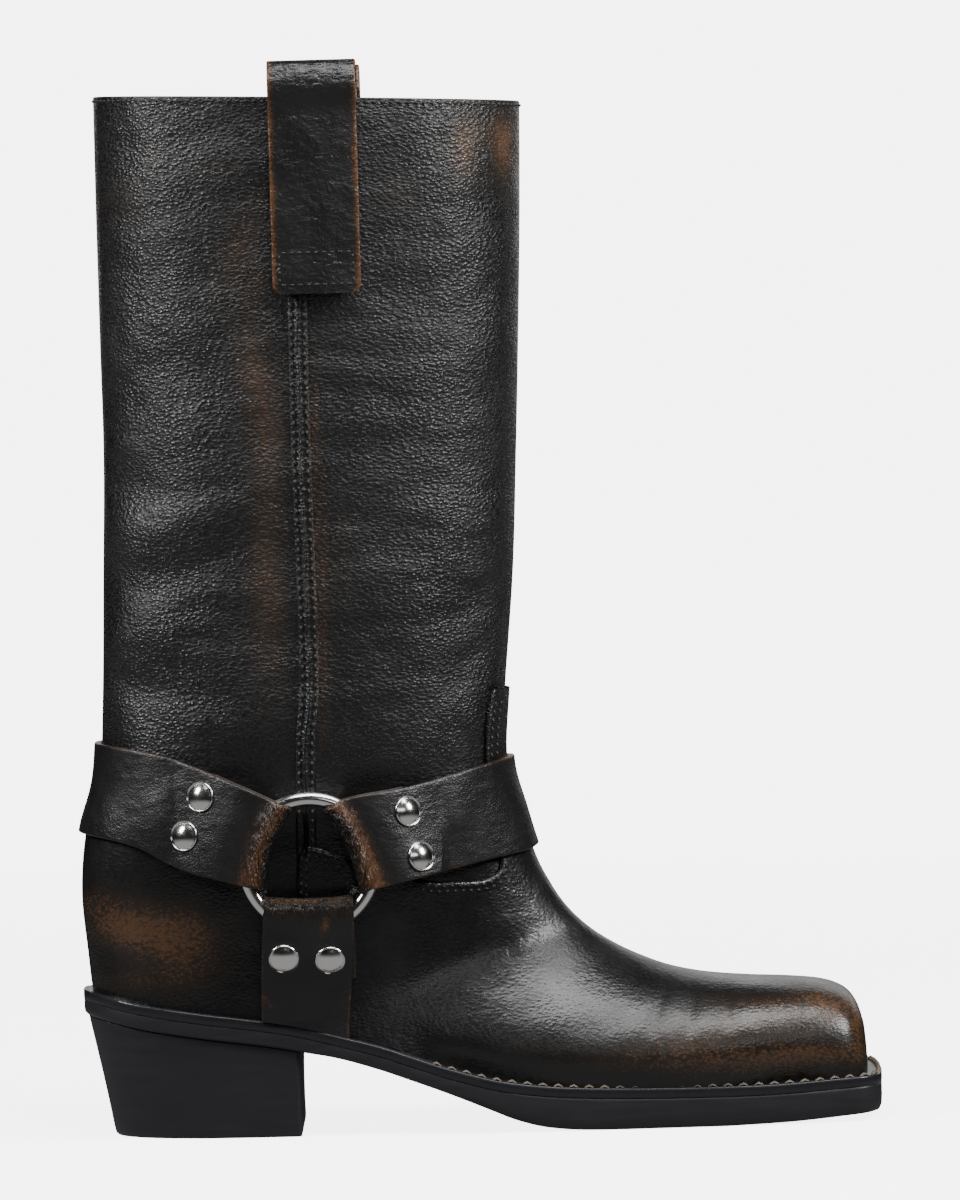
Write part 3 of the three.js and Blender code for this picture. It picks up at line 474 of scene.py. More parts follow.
def loopNormals(loop):
    # Outward normals of a closed plan outline: its tangent turned by a right angle
    along = np.roll(loop, -1, axis=0) - np.roll(loop, 1, axis=0)
    normal = np.stack([along[:, 1], -along[:, 0]], axis=1)
    normal /= np.linalg.norm(normal, axis=1, keepdims=True)
    area = np.sum(loop[:, 0] * np.roll(loop[:, 1], -1) - loop[:, 1] * np.roll(loop[:, 0], -1))
    return normal * np.sign(area)


def featherLoop():
    angles = np.linspace(0, 2 * math.pi, 1600, endpoint=False)
    points = basePoint(featherPlace(angles), angles)[:, :2]
    loop = resampleLoop(points, soleSettings["points"])
    for _ in range(3):
        loop = 0.25 * np.roll(loop, 1, axis=0) + 0.5 * loop + 0.25 * np.roll(loop, -1, axis=0)
    return loop


featherOutline = featherLoop()


def soleOutline(inset):
    # The welt's outline moved in by an inset: it stands proud of the feather edge, less round the heel and
    # more at the forefoot's flanks, with a slight bow across the toe
    normal = loopNormals(featherOutline)
    along = featherOutline[:, 0] / last["footLength"]
    share = smoothStep(0.2, 0.5, along)
    proud = soleSettings["heelProud"] + (soleSettings["weltProud"] - soleSettings["heelProud"]) * share
    flank = smoothStep(0.3, 0.42, along) * (1 - smoothStep(0.9, 1.0, along)) * normal[:, 1] ** 4
    proud = proud + soleSettings["flankProud"] * flank
    loop = featherOutline + normal * (proud - inset)[:, None]
    bulge = soleSettings["toeBulge"] * smoothStep(0.93, 1.0, along)
    middle = (loop[:, 1].max() + loop[:, 1].min()) / 2
    loop[:, 0] += bulge * (1 - ((loop[:, 1] - middle) / soleSettings["toeHalfWidth"]) ** 2).clip(0)
    return loop


def loopSolid(rings):
    # A solid from rings of points down a profile, closed at both ends: each cap is its ring drawn in to its
    # middle line in steps
    rings = [np.asarray(ring) for ring in rings]

    def capRings(ring):
        middle = (ring[:, 1].max() + ring[:, 1].min()) / 2
        return [np.stack([ring[:, 0], middle + (ring[:, 1] - middle) * share, ring[:, 2]], axis=1)
                for share in (0.75, 0.45, 0.15, 0.0)]

    return np.stack(capRings(rings[0])[::-1] + rings + capRings(rings[-1]))


def withZ(loop, z):
    return np.stack([loop[:, 0], loop[:, 1], np.broadcast_to(z, loop[:, 0].shape)], axis=1)


def finishSolid(name, points, material, replaces, closedProfile=False, smoothAngle=35.0):
    # Mesh of a loop solid, with its doubled points merged and its faces turned outwards
    if closedProfile:
        points = np.concatenate([points, points[:1]])
    faces = gridFaces(*points.shape[:2], closed=True)
    piece = makeMesh(name, points, faces, material, replaces, smoothAngle)
    work = bmesh.new()
    work.from_mesh(piece.data)
    bmesh.ops.remove_doubles(work, verts=work.verts, dist=1e-6)
    bmesh.ops.dissolve_degenerate(work, edges=work.edges, dist=1e-7)
    bmesh.ops.recalc_face_normals(work, faces=work.faces)
    work.to_mesh(piece.data)
    work.free()
    piece.data.set_sharp_from_angle(angle=math.radians(smoothAngle))
    return piece


def makeWelt(material):
    # Strip round the upper: rounded edge, a shallow channel for the stitches, and a flat inside
    thick = soleSettings["weltThickness"]
    profile = [(13.0, 0.0), (6.2, 0.0), (2.9, 0.0), (2.6, 0.14), (2.2, 0.24), (1.6, 0.24), (1.2, 0.14),
               (0.95, 0.0), (0.75, 0.02), (0.32, 0.14), (0.08, 0.4), (0.0, 0.8), (0.0, thick - 0.25),
               (0.12, thick - 0.05), (0.5, thick), (13.0, thick)]
    rings = []
    for inset, drop in profile:
        loop = soleOutline(inset)
        rings.append(withZ(loop, featherZ(loop[:, 0]) - drop))
    return finishSolid("weltStrip", np.stack(rings), material, ["welt"], closedProfile=True)


def makeOutsole(material):
    # Sole under the welt: a slightly hollow, rounded edge and a flat tread, closed above and below
    inset = soleSettings["outsoleInset"]
    profile = [(1.5, 0.0), (0.3, 0.0), (0.05, 0.03), (0.0, 0.08), (0.0, 0.6), (0.2, 0.86), (0.8, 0.975),
               (1.8, 1.0)]
    rings = []
    for step, share in profile:
        loop = soleOutline(inset + step)
        top = featherZ(loop[:, 0]) - soleSettings["weltThickness"] - soleSettings["joint"]
        rings.append(withZ(loop, top + (outsoleBottomZ(loop[:, 0]) - top) * share))
    return finishSolid("outsoleLeather", loopSolid(rings), material, ["outsole"])


def makeHeel(material):
    # Block under the seat: the sole's outline behind the breast, slanting in at the back and sides as it
    # goes down
    breast, corner = soleSettings["heelBreast"], soleSettings["heelCorner"]
    full = soleOutline(soleSettings["outsoleInset"] + soleSettings["heelInset"])
    outer = full[(full[:, 1] < 0) & (full[:, 0] < breast)]
    inner = full[(full[:, 1] >= 0) & (full[:, 0] < breast)]
    outer, inner = outer[np.argsort(outer[:, 0])], inner[np.argsort(inner[:, 0])]
    flank = np.vstack([inner[::-1], outer])
    ends = np.linspace(flank[-1, 1] + corner, flank[0, 1] - corner, 24)
    front = np.stack([np.full(len(ends), breast), ends], axis=1)
    loop = resampleLoop(np.vstack([flank, front]), 260)
    back = loop[:, 0].min()
    rings = []
    profile = [(1.2, 0.0), (0.3, 0.0), (0.0, 0.01), (0.0, 0.12), (0.12, 0.3), (0.2, 0.5), (0.15, 0.75),
               (0.0, 0.9),
               (0.0, 0.965), (0.15, 0.99), (0.6, 1.0), (1.4, 1.0)]
    normal = loopNormals(loop)
    for step, share in profile:
        shape = loop - normal * step
        slant = share * soleSettings["heelBackSlant"] / (breast - back)
        x = breast - (breast - shape[:, 0]) * (1 - slant)
        y = shape[:, 1] * (1 - share * soleSettings["heelSideTaper"] / last["ballHalfWidth"])
        top = outsoleBottomZ(shape[:, 0]) - soleSettings["joint"]
        rings.append(np.stack([x, y, top * (1 - share)], axis=1))
    return finishSolid("heelBlock", loopSolid(rings), material, ["heel"], smoothAngle=30)


# One side of the last, found from the side view: the nearest of many points, then a few Newton steps, each
# a linear solve for place and angle
def sideTree():
    places, thetas = np.meshgrid(np.linspace(1, lastLevel + 0.9, 330), np.linspace(0.03, math.pi - 0.03, 150),
                                 indexing="ij")
    places, thetas = places.ravel(), thetas.ravel()
    points = basePoint(places, thetas)
    tree = KDTree(len(places))
    for index, (x, _, z) in enumerate(points):
        tree.insert((x, z, 0), index)
    tree.balance()
    return tree, places, thetas


tree, treePlaces, treeThetas = sideTree()


def locate(x, z, side):
    # Place and signed angle of side-view points on one side of the last
    x, z = np.broadcast_arrays(np.asarray(x, float), np.asarray(z, float))
    found = np.array([tree.find((a, b, 0))[1] for a, b in zip(x.ravel(), z.ravel())])
    place = treePlaces[found].reshape(x.shape)
    theta = treeThetas[found].reshape(x.shape)
    step = 0.004
    for _ in range(6):
        here = basePoint(place, side * theta)
        byPlace = (basePoint(place + step, side * theta) - here) / step
        byTheta = (basePoint(place, side * (theta + step)) - here) / step
        missX, missZ = x - here[..., 0], z - here[..., 2]
        area = byPlace[..., 0] * byTheta[..., 2] - byPlace[..., 2] * byTheta[..., 0]
        area = np.where(np.abs(area) < 1e-3, 1e-3, area)
        movePlace = (missX * byTheta[..., 2] - missZ * byTheta[..., 0]) / area
        moveTheta = (byPlace[..., 0] * missZ - byPlace[..., 2] * missX) / area
        place = np.clip(place + np.clip(movePlace, -0.2, 0.2), 0.5, lastLevel + 0.95)
        theta = np.clip(theta + np.clip(moveTheta, -0.1, 0.1), 0.01, math.pi - 0.01)
    return place, side * theta


def unit(vectors):
    return vectors / np.maximum(np.linalg.norm(vectors, axis=-1, keepdims=True), 1e-9)


def sheetSolid(name, sheet, thick, material, replaces, attributes=None, side=1.0):
    # A strip of leather from its outer face (rows along it, columns across): rounded edges, an inner face
    # parallel to the outer one, and closed ends
    along = np.gradient(sheet, axis=0)
    across = unit(np.gradient(sheet, axis=1))
    normal = unit(np.cross(along, across)) * side
    corner = min(harness["edgeRound"], thick / 2)
    edges = []
    for column, inward in ((0, 1.0), (-1, -1.0)):
        edge, cross, out = sheet[:, column], across[:, column] * inward, normal[:, column]
        rows = [edge + cross * corner * a - out * corner * b for a, b in ((0.5, 0.13), (0.13, 0.5), (0, 1.0))]
        rows += [edge + cross * corner * a - out * (thick - corner * b) for a, b in ((0, 0.6), (0.2, 0.15))]
        edges.append(rows)
    inner = sheet - normal * thick
    face = sheet.copy()
    face[:, 0] += across[:, 0] * corner
    face[:, -1] -= across[:, -1] * corner
    inner[:, 0] += across[:, 0] * corner * 0.6
    inner[:, -1] -= across[:, -1] * corner * 0.6
    ring = np.concatenate([face, np.stack(edges[1], axis=1), inner[:, ::-1],
                           np.stack(edges[0][::-1], axis=1)], axis=1)
    rows, columns = ring.shape[:2]
    faces = gridFaces(rows, columns, closed=True).tolist()
    faces.append(list(range(columns)))
    faces.append([(rows - 1) * columns + c for c in reversed(range(columns))])
    if side < 0:
        faces = [f[::-1] for f in faces]
    # Each point of the ring takes its attributes from the outer face's column above it
    wide, turned = sheet.shape[1], len(edges[0])
    source = np.concatenate([np.arange(wide), np.full(turned, wide - 1), np.arange(wide)[::-1],
                             np.zeros(turned, int)])
    data = {key: values[:, source] for key, values in (attributes or {}).items()}
    data["inside"] = np.zeros((rows, columns))
    data["inside"][:, wide + turned - 1:2 * wide + turned + 1] = 1
    return makeMesh(name, ring, faces, material, replaces, 50, data)


# Harness: ring, straps and rivets
harness = {
    "ringOuter": 50.5, "ringWire": 5.0, "ringForward": 83.0, "ringUp": 97.2, "ringTilt": 3.0,
    "strapWidth": 33.0, "strapThickness": 2.4, "foldSetback": 11.2, "underWidth": 33.0,
    "overUpper": 0.3, "overVamp": 1.8, "crest": 14.0, "doubled": 38.0, "edgeRound": 0.6,
    "rivetRadius": 5.4, "rivetDome": 2.1, "rivetRim": 0.9, "rivetSpan": 3.5,
    "across": 26, "flatRows": 46, "bandRows": 34,
}
harness["foldRadius"] = harness["ringWire"] / 2 + last["gap"] + harness["strapThickness"]
harness["ringLift"] = harness["overVamp"] + harness["foldRadius"]
harness["ringRadius"] = (harness["ringOuter"] - harness["ringWire"]) / 2

# Strap edges in strap widths from the ring's centre: forward, up
strapEdges = {
    "rear": {
        "turn": 159.0, "under": harness["overUpper"], "joint": 38.0, "rivets": [(31.9, -9.4), (32.6, 5.5)],
        "top": [(-4, 1.30), (-2.9, 1.29), (-2.21, 1.272), (-1.56, 1.173), (-1.14, 1.036), (-0.72, 0.848),
                (-0.155, 0.579), (0.3, 0.36)],
        "base": [(-4, 0.42), (-2.44, 0.312), (-1.81, 0.188), (-1.385, -0.024), (-0.96, -0.155),
                 (-0.72, -0.218),
                 (-0.485, -0.285), (0.1, -0.45)],
        "fold": ((-0.155, 0.579), (-0.485, -0.285)), "bow": 2.4, "end": math.pi,
        "bands": [(6.6, 3.0, 0.90), (11.0, 3.4, 0.34)],
    },
    "front": {
        "turn": 23.0, "under": harness["overVamp"], "joint": 128.0, "rivets": [(26.9, 2.8), (24.7, -13.5)],
        "top": [(-0.3, 0.30), (0.133, 0.548), (0.36, 0.673), (0.98, 0.782), (1.41, 0.867), (1.84, 0.964),
                (2.18, 1.033), (4, 1.2)],
        "base": [(0.0, -0.50), (0.521, -0.345), (0.70, -0.291), (1.38, -0.142), (1.81, -0.067),
                 (2.24, -0.012),
                 (2.42, 0.048), (4, 0.20)],
        "fold": ((0.133, 0.548), (0.521, -0.345)), "bow": 2.4, "end": 0.0,
        "bands": [(9.6, 3.6, 0.92), (5.0, 2.2, 0.30)],
    },
}
# Edges of the lower strap: height over the floor, forward place in strap widths
underEdges = {
    "rear": [(20, -0.56), (40, -0.56), (52, -0.555), (63.6, -0.54), (75, -0.52), (86, -0.50), (100, -0.49)],
    "front": [(20, 0.37), (38, 0.37), (52.4, 0.39), (64, 0.43), (74.8, 0.455), (86, 0.445), (100, 0.44)],
    "foldRear": -0.50, "foldWidth": 0.945, "sag": 1.0,
}
underRivets = [(21.8, -10.0), (22.8, 6.1)]
# Worn bands: distance from the fold's tip along the leather, half width, strength
underBands = [(3.0, 2.6, 0.50), (8.0, 2.0, 0.30)]
# Worn places as in upperWear
underWear = [(64, 51, 5, 1.6, -35, 0.8), (68, 47, 4, 1.2, -20, 0.6), (88, 76, 5, 1.6, 80, 0.6)]


def ringFrame(side):
    tilt = math.radians(harness["ringTilt"])
    place, angle = locate([harness["ringForward"]], [harness["ringUp"]], side)
    skin = basePoint(place, angle)[0]
    centre = np.array([harness["ringForward"], skin[1] + side * harness["ringLift"], harness["ringUp"]])
    out = np.array([0, side * math.cos(tilt), -math.sin(tilt)])
    up = np.array([0, side * math.sin(tilt), math.cos(tilt)])
    return centre, out, up


ringFrames = {side: ringFrame(side) for side in (-1, 1)}


def planePoint(x, z, height, side):
    # The point over a side-view place at a height over the ring's plane
    centre = ringFrames[side][0]
    tilt = math.radians(harness["ringTilt"])
    rise = (z - centre[2] + height * math.sin(tilt)) / math.cos(tilt)
    y = centre[1] + side * (rise * math.sin(tilt) + height * math.cos(tilt))
    return np.stack([x + 0 * y, y, z + 0 * y], axis=-1)


def fromFold(x, z, turn):
    # Distance from a strap's fold line, along the strap, in the side view
    turn = math.radians(turn)
    return ((x - harness["ringForward"]) * math.cos(turn) + (z - harness["ringUp"]) * math.sin(turn)
            - harness["foldSetback"])


def doubledShare(distance):
    # 1 where the strap lies double behind its fold, 0 past the end of its inner layer
    return 1 - smoothStep(harness["doubled"] - 3, harness["doubled"] + 8, distance)


def strapFace(x, z, side, turn, under):
    # Outer face of a folded strap: level over the ring's wire, then down onto the leather below
    distance = fromFold(x, z, turn)
    level = planePoint(x, z, np.full(np.shape(x), harness["foldRadius"]), side)
    place, angle = locate(x, z, side)
    thick = harness["strapThickness"]
    low = skinAt(place, angle, under + thick + thick * doubledShare(distance))
    share = smoothStep(harness["crest"], harness["doubled"], distance)[..., None]
    return level * (1 - share) + low * share, angle


def foldRows(foldX, foldZ, side, turn, under, heightAt=None, steps=12, inner=12):
    # The strap's end: the hidden inner layer along the upper, then the roll round the ring's wire
    radius = harness["foldRadius"]
    turn = math.radians(turn)
    rows = []
    for distance in np.linspace(30, radius + 1, inner):
        x = foldX + math.cos(turn) * distance
        z = foldZ + math.sin(turn) * distance
        if heightAt is not None:
            z = heightAt(x)
        place, angle = locate(x, z, side)
        low = skinAt(place, angle, np.full(x.shape, under + 0.05))
        level = planePoint(x, z, np.full(x.shape, -radius), side)
        share = smoothStep(radius, 20, np.full(x.shape, distance))[..., None]
        rows.append(level * (1 - share) + low * share)
    for step in range(steps + 1):
        bend = math.pi * (1 - step / steps)
        distance = radius * (1 - math.sin(bend))
        x = foldX + math.cos(turn) * distance
        z = foldZ + math.sin(turn) * distance
        rows.append(planePoint(x, z, np.full(x.shape, radius * math.cos(bend)), side))
    return np.stack(rows)


def edgeHeights(rows, x, width):
    table = np.array(rows)
    return harness["ringUp"] + width * smoothCurve(table, (x - harness["ringForward"]) / width)


def strapHalf(name, side):
    # One side of a strap, from its inner layer to the middle line of the back or the instep. Past the joint
    # it follows the strap's edges: each line round the last meets them by halving.
    facts = strapEdges[name]
    width = harness["strapWidth"]
    across = np.linspace(0, 1, harness["across"])
    corners = np.array(facts["fold"]) * width + [harness["ringForward"], harness["ringUp"]]
    run = math.cos(math.radians(facts["turn"]))
    foldX = corners[0, 0] + (corners[1, 0] - corners[0, 0]) * across
    foldX = foldX + run * facts["bow"] * 4 * across * (1 - across)

    def heightAt(x):
        top, base = edgeHeights(facts["top"], x, width), edgeHeights(facts["base"], x, width)
        return top + (base - top) * across

    rolled = foldRows(foldX, heightAt(foldX), side, facts["turn"], facts["under"], heightAt)
    share = np.linspace(0, 1, harness["flatRows"])[1:, None]
    start = foldX + run * harness["foldRadius"]
    x = start + (facts["joint"] - start) * share
    z = heightAt(x)
    flat, angle = strapFace(x, z, side, facts["turn"], facts["under"])
    fade = np.linspace(0, 1, harness["bandRows"])[1:, None]
    theta = np.abs(angle[-1])
    turned = theta + (facts["end"] - theta) * fade
    low, high = np.full(turned.shape, 1.0), np.full(turned.shape, lastLevel - 1.0)
    for _ in range(36):
        middle = (low + high) / 2
        point = basePoint(middle, side * turned)
        above = point[..., 2] > heightAt(point[..., 0])
        low, high = np.where(above, middle, low), np.where(above, high, middle)
    doubled = harness["strapThickness"] * doubledShare(fromFold(x[-1], z[-1], facts["turn"]))
    height = facts["under"] + harness["strapThickness"] + doubled[None, :] * (1 - smoothStep(0, 0.4, fade))
    band = skinAt(low, side * turned, height)
    return np.concatenate([rolled, flat, band]), len(rolled) - 7


def strapAttributes(sheet, tips, bands, edgeWear=0.35, edgeReach=0.9):
    # Wear of a strap: bands at set distances from its rolled ends, and less along its edges
    steps = np.linalg.norm(np.diff(sheet, axis=1), axis=-1)
    across = np.concatenate([np.zeros((len(sheet), 1)), np.cumsum(steps, axis=1)], axis=1)
    edge = np.minimum(across, across[:, -1:] - across)
    steps = np.linalg.norm(np.diff(sheet, axis=0), axis=-1)
    along = np.concatenate([np.zeros((1, sheet.shape[1])), np.cumsum(steps, axis=0)], axis=0)
    wear = edgeWear * np.exp(-(edge / edgeReach) ** 2)
    for tip, direction in tips:
        reach = (along - along[tip]) * direction
        for distance, half, strength in bands:
            band = strength * np.exp(-((reach - distance) / half) ** 2)
            wear = 1 - (1 - wear) * (1 - band)
    wrinkle = np.zeros(along.shape)
    for tip, direction in tips:
        wrinkle = np.maximum(wrinkle, np.exp(-(((along - along[tip]) * direction - 5.0) / 5.0) ** 2))
    return {"wear": wear, "wrinkle": wrinkle}


def makeStraps(material):
    thick = harness["strapThickness"]
    for name in ("rear", "front"):
        outer, tip = strapHalf(name, -1)
        inner, _ = strapHalf(name, 1)
        sheet = np.concatenate([outer, inner[::-1][1:]])
        facing = 1.0 if name == "rear" else -1.0
        wear = strapAttributes(sheet, [(tip, 1), (len(sheet) - 1 - tip, -1)], strapEdges[name]["bands"])
        sheetSolid(name + "Strap", sheet, thick, material, ["strap_" + name], wear, facing)
    for sideName, side in (("lateral", -1), ("medial", 1)):
        sheet, tip = underSheet(side)
        wear = strapAttributes(sheet, [(tip, 1)], underBands, 0.3)
        spots = wearAt(sheet.reshape(-1, 3), underWear).reshape(sheet.shape[:2])
        wear["wear"] = np.maximum(wear["wear"], spots)
        sheetSolid("underStrap" + sideName.title(), sheet, thick, material,
                   ["strap_under_" + sideName], wear, -float(side))


def underSheet(side):
    width = harness["underWidth"]
    middle, top = harness["ringForward"], harness["ringUp"] - harness["foldSetback"]
    across = np.linspace(0, 1, harness["across"])
    foldX = middle + width * (underEdges["foldRear"] + underEdges["foldWidth"] * across)
    foldZ = top - underEdges["sag"] * 4 * across * (1 - across)
    rolled = foldRows(foldX, foldZ, side, -90.0, harness["overVamp"])
    lower = featherZ(foldX) + last["gap"]
    start = foldZ - harness["foldRadius"]
    z = start + (lower - start) * np.linspace(0, 1, harness["flatRows"])[1:, None]
    left, right = smoothCurve(np.array(underEdges["rear"]), z), smoothCurve(np.array(underEdges["front"]), z)
    x = middle + width * (left + (right - left) * across[None, :])
    flat, _ = strapFace(x, z, side, -90.0, harness["overVamp"])
    return np.concatenate([rolled, flat]), len(rolled) - 7


def makeRings(material):
    around, across = 128, 28
    for sideName, side in (("lateral", -1), ("medial", 1)):
        centre, out, up = ringFrames[side]
        turn = np.linspace(0, 2 * math.pi, around, endpoint=False)[:, None]
        bend = np.linspace(0, 2 * math.pi, across, endpoint=False)[None, :]
        reach = harness["ringRadius"] + harness["ringWire"] / 2 * np.cos(bend)
        x = reach * np.cos(turn)
        u = reach * np.sin(turn)
        n = harness["ringWire"] / 2 * np.sin(bend) + 0 * turn
        points = centre + x[..., None] * np.array([1.0, 0, 0]) + u[..., None] * up + n[..., None] * out
        points = np.concatenate([points, points[:1]])
        finishSolid("ring" + sideName.title(), points, material, ["ring_" + sideName])


def makeRivets(material):
    radius, dome, rim = harness["rivetRadius"], harness["rivetDome"], harness["rivetRim"]
    # A rounded bead round the cap, a groove, then a shallow dome: height = groove + rise * (1 - share^2)
    profile = [(0.0, -rim), (radius * 0.9, -rim), (radius, -rim * 0.6), (radius, rim * 0.45),
               (radius * 0.98, rim * 0.82), (radius * 0.94, rim), (radius * 0.895, rim * 0.86),
               (radius * 0.88, rim * 0.6)]
    for share in np.linspace(0.97, 0, 10):
        profile.append((radius * 0.87 * share, rim * 0.6 + (dome - rim * 0.6) * (1 - share**2)))
    around = np.linspace(0, 2 * math.pi, 40, endpoint=False)
    groups = [(strapEdges[name]["turn"], strapEdges[name]["under"], strapEdges[name]["rivets"])
              for name in ("rear", "front")]
    groups.append((-90.0, harness["overVamp"], underRivets))
    for sideName, side in (("lateral", -1), ("medial", 1)):
        number = 1
        for turn, under, spots in groups:
            angle = math.radians(turn)
            for distance, aside in spots:
                reach = harness["foldSetback"] + distance
                x = harness["ringForward"] + math.cos(angle) * reach - math.sin(angle) * aside
                z = harness["ringUp"] + math.sin(angle) * reach + math.cos(angle) * aside
                span = harness["rivetSpan"]
                face, _ = strapFace(np.array([x, x + span, x - span, x, x]),
                                    np.array([z, z, z, z + span, z - span]), side, turn, under)
                normal = unit(np.cross(face[1] - face[2], face[3] - face[4]))
                normal = normal * np.sign(normal[1] * side)
                first = unit(np.cross(normal, [0, 0, 1.0]))
                second = np.cross(normal, first)
                rings = [face[0] + r * (np.cos(around)[:, None] * first + np.sin(around)[:, None] * second)
                         + normal * h for r, h in profile]
                finishSolid("rivet" + sideName.title() + str(number), np.stack(rings), material,
                            ["rivet_%s_%d" % (sideName, number)], smoothAngle=45)
                number += 1


# Vamp: its outline in the side view, as shares of the foot's length and the instep's height
vampSettings = {"gap": 0.3, "thickness": 1.3, "round": 0.7, "skirt": 1.7, "rows": 330, "columns": 300,
                "startLevel": 6.0}
vampOutline = [
    (0.556, 1.062), (0.543, 1.03), (0.5365, 0.995), (0.530, 0.935), (0.5265, 0.843), (0.532, 0.72),
    (0.543, 0.62), (0.5415, 0.592), (0.532, 0.575), (0.517, 0.568), (0.485, 0.569), (0.453, 0.572),
    (0.395, 0.605), (0.340, 0.640), (0.300, 0.664), (0.288, 0.655), (0.284, 0.60), (0.280, 0.40),
    (0.274, 0.10), (0.27, -0.6), (1.30, -0.6), (1.30, 1.062),
]


def curvedOutline(points, scaleX, scaleZ, smooth):
    # A closed side-view outline in mm: its first corners run through a soft curve, the last three stay
    # sharp
    table = np.array(points) * [scaleX, scaleZ]
    soft = table[:-3]
    key = np.concatenate([[0], np.cumsum(np.linalg.norm(np.diff(soft, axis=0), axis=1))])
    at = np.linspace(0, key[-1], 420)
    x = smoothCurve(np.stack([key, soft[:, 0]], axis=1), at)
    z = smoothCurve(np.stack([key, soft[:, 1]], axis=1), at)
    for _ in range(smooth):
        x[1:-1] = (x[:-2] + 2 * x[1:-1] + x[2:]) / 4
        z[1:-1] = (z[:-2] + 2 * z[1:-1] + z[2:]) / 4
    return np.vstack([np.stack([x, z], axis=1), table[-3:]])


def signedDistance(x, z, outline):
    # How far inside a closed outline each side-view point lies; negative outside
    shape = np.shape(x)
    point = np.stack([np.ravel(x), np.ravel(z)], axis=1)
    start, end = outline, np.roll(outline, -1, axis=0)
    best = np.full(len(point), 1e9)
    inside = np.zeros(len(point), bool)
    for a, b in zip(start, end):
        edge = b - a
        share = np.clip(((point - a) @ edge) / max(edge @ edge, 1e-9), 0, 1)
        best = np.minimum(best, np.linalg.norm(point - a - share[:, None] * edge, axis=1))
        crosses = (a[1] > point[:, 1]) != (b[1] > point[:, 1])
        if a[1] != b[1]:
            reach = a[0] + (point[:, 1] - a[1]) / (b[1] - a[1]) * edge[0]
            inside ^= crosses & (point[:, 0] < reach)
    return np.where(inside, best, -best).reshape(shape)


vampLine = curvedOutline(vampOutline, last["footLength"], last["instepHeight"], 6)


def makeVamp(material):
    # The vamp is cut out of a fine grid on the last, with a rounded edge and a skirt down to the upper
    angles = np.linspace(-2.9, 2.9, vampSettings["columns"])
    places = gridPlaces(angles, vampSettings["rows"], vampSettings["startLevel"])
    base = basePoint(places, angles[None, :])
    inside = signedDistance(base[..., 0], base[..., 2], vampLine)
    above = base[..., 2] - featherZ(base[..., 0]) + upperSettings["tuck"]
    place, angle, _, faces, border, _ = cutPatch(places, angles, np.minimum(inside, above))
    base = basePoint(place, angle)
    depth = signedDistance(base[:, 0], base[:, 2], vampLine)
    full = vampSettings["gap"] + vampSettings["thickness"]
    roll = np.clip(depth / vampSettings["round"], 0, 1)
    height = full - vampSettings["round"] * (1 - np.sqrt(1 - (1 - roll) ** 2))
    points = skinAt(place, angle, height)
    edgePoints = sorted({i for pair in border for i in pair})
    below = {index: len(points) + k for k, index in enumerate(edgePoints)}
    lower = skinAt(place[edgePoints], angle[edgePoints],
                   np.full(len(edgePoints), full - vampSettings["skirt"]))
    faces += [[b, a, below[a], below[b]] for a, b in border]
    return makeMesh("vampLeather", np.vstack([points, lower]), faces, material, ["vamp"], 60)


# Side seams: centre line in shares of the shaft's depth and the collar's height
seamSettings = {"width": 7.0,
                "line": [(0.575, 0.986), (0.567, 0.88), (0.563, 0.795), (0.561, 0.69), (0.563, 0.556),
                                       (0.565, 0.48), (0.562, 0.422), (0.552, 0.384), (0.545, 0.27)],
                "profile": [(-3.55, -0.35), (-3.35, 0.7), (-3.0, 1.05), (-2.3, 1.0), (-1.5, 0.9),
                            (-0.95, 1.15),
                            (-0.55, 1.9), (-0.2, 2.05), (0.1, 1.75), (0.3, 1.2), (0.6, 1.0), (1.4, 0.85),
                            (2.3, 0.95), (3.0, 1.0), (3.35, 0.65), (3.55, -0.35)]}


def seamCentre(count):
    line = np.array(seamSettings["line"]) * [last["shaftDepth"], last["collarHeight"]]
    z = np.linspace(line[0, 1], line[-1, 1], count)
    return smoothCurve(line[::-1, ::-1], z), z


def makeSeams(material):
    profile = np.array(seamSettings["profile"])
    x, z = seamCentre(200)
    pieces = []
    for sideName, side in (("lateral", -1), ("medial", 1)):
        # The seam's ridge wanders a little: two sines of the height
        wave = 0.25 * np.sin(z * 0.13) + 0.15 * np.sin(z * 0.31)
        gridX = x[:, None] + profile[None, :, 0] + wave[:, None] * (np.abs(profile[:, 0]) < 2)
        place, angle = locate(gridX, z[:, None] + 0 * gridX, side)
        points = skinAt(place, angle, last["gap"] - 0.1 + profile[None, :, 1] + 0 * gridX)
        faces = gridFaces(*points.shape[:2], flip=side < 0)
        pieces.append(makeMesh("sideSeam" + sideName.title(), points, faces, material,
                               ["side_seam_" + sideName], 50))
    return pieces


# Pull straps over the collar
pullSettings = {"width": 31.0, "forward": 91.5, "thickness": 2.4, "rise": 13.5, "drop": 68.0,
                "insideDrop": 42.0,
                "loopGap": 9.0, "shoulder": 3.0, "overSeam": 1.8, "cornerRadius": 3.0, "across": 26,
                "boxLow": 3.2, "boxHigh": 14.4, "boxMargin": 0.085}


def smoothPath(points, count):
    # A soft curve through a list of points, with its points evenly spaced
    points = np.array(points, float)
    key = np.concatenate([[0], np.cumsum(np.linalg.norm(np.diff(points, axis=0), axis=1))])
    at = np.linspace(0, key[-1], count)
    return np.stack([smoothCurve(np.stack([key, points[:, k]], axis=1),
                                 at) for k in range(points.shape[1])], axis=1)


def collarAt(x):
    return last["collarHeight"] - last["collarSlope"] * (x / last["shaftDepth"])


pullRows = []


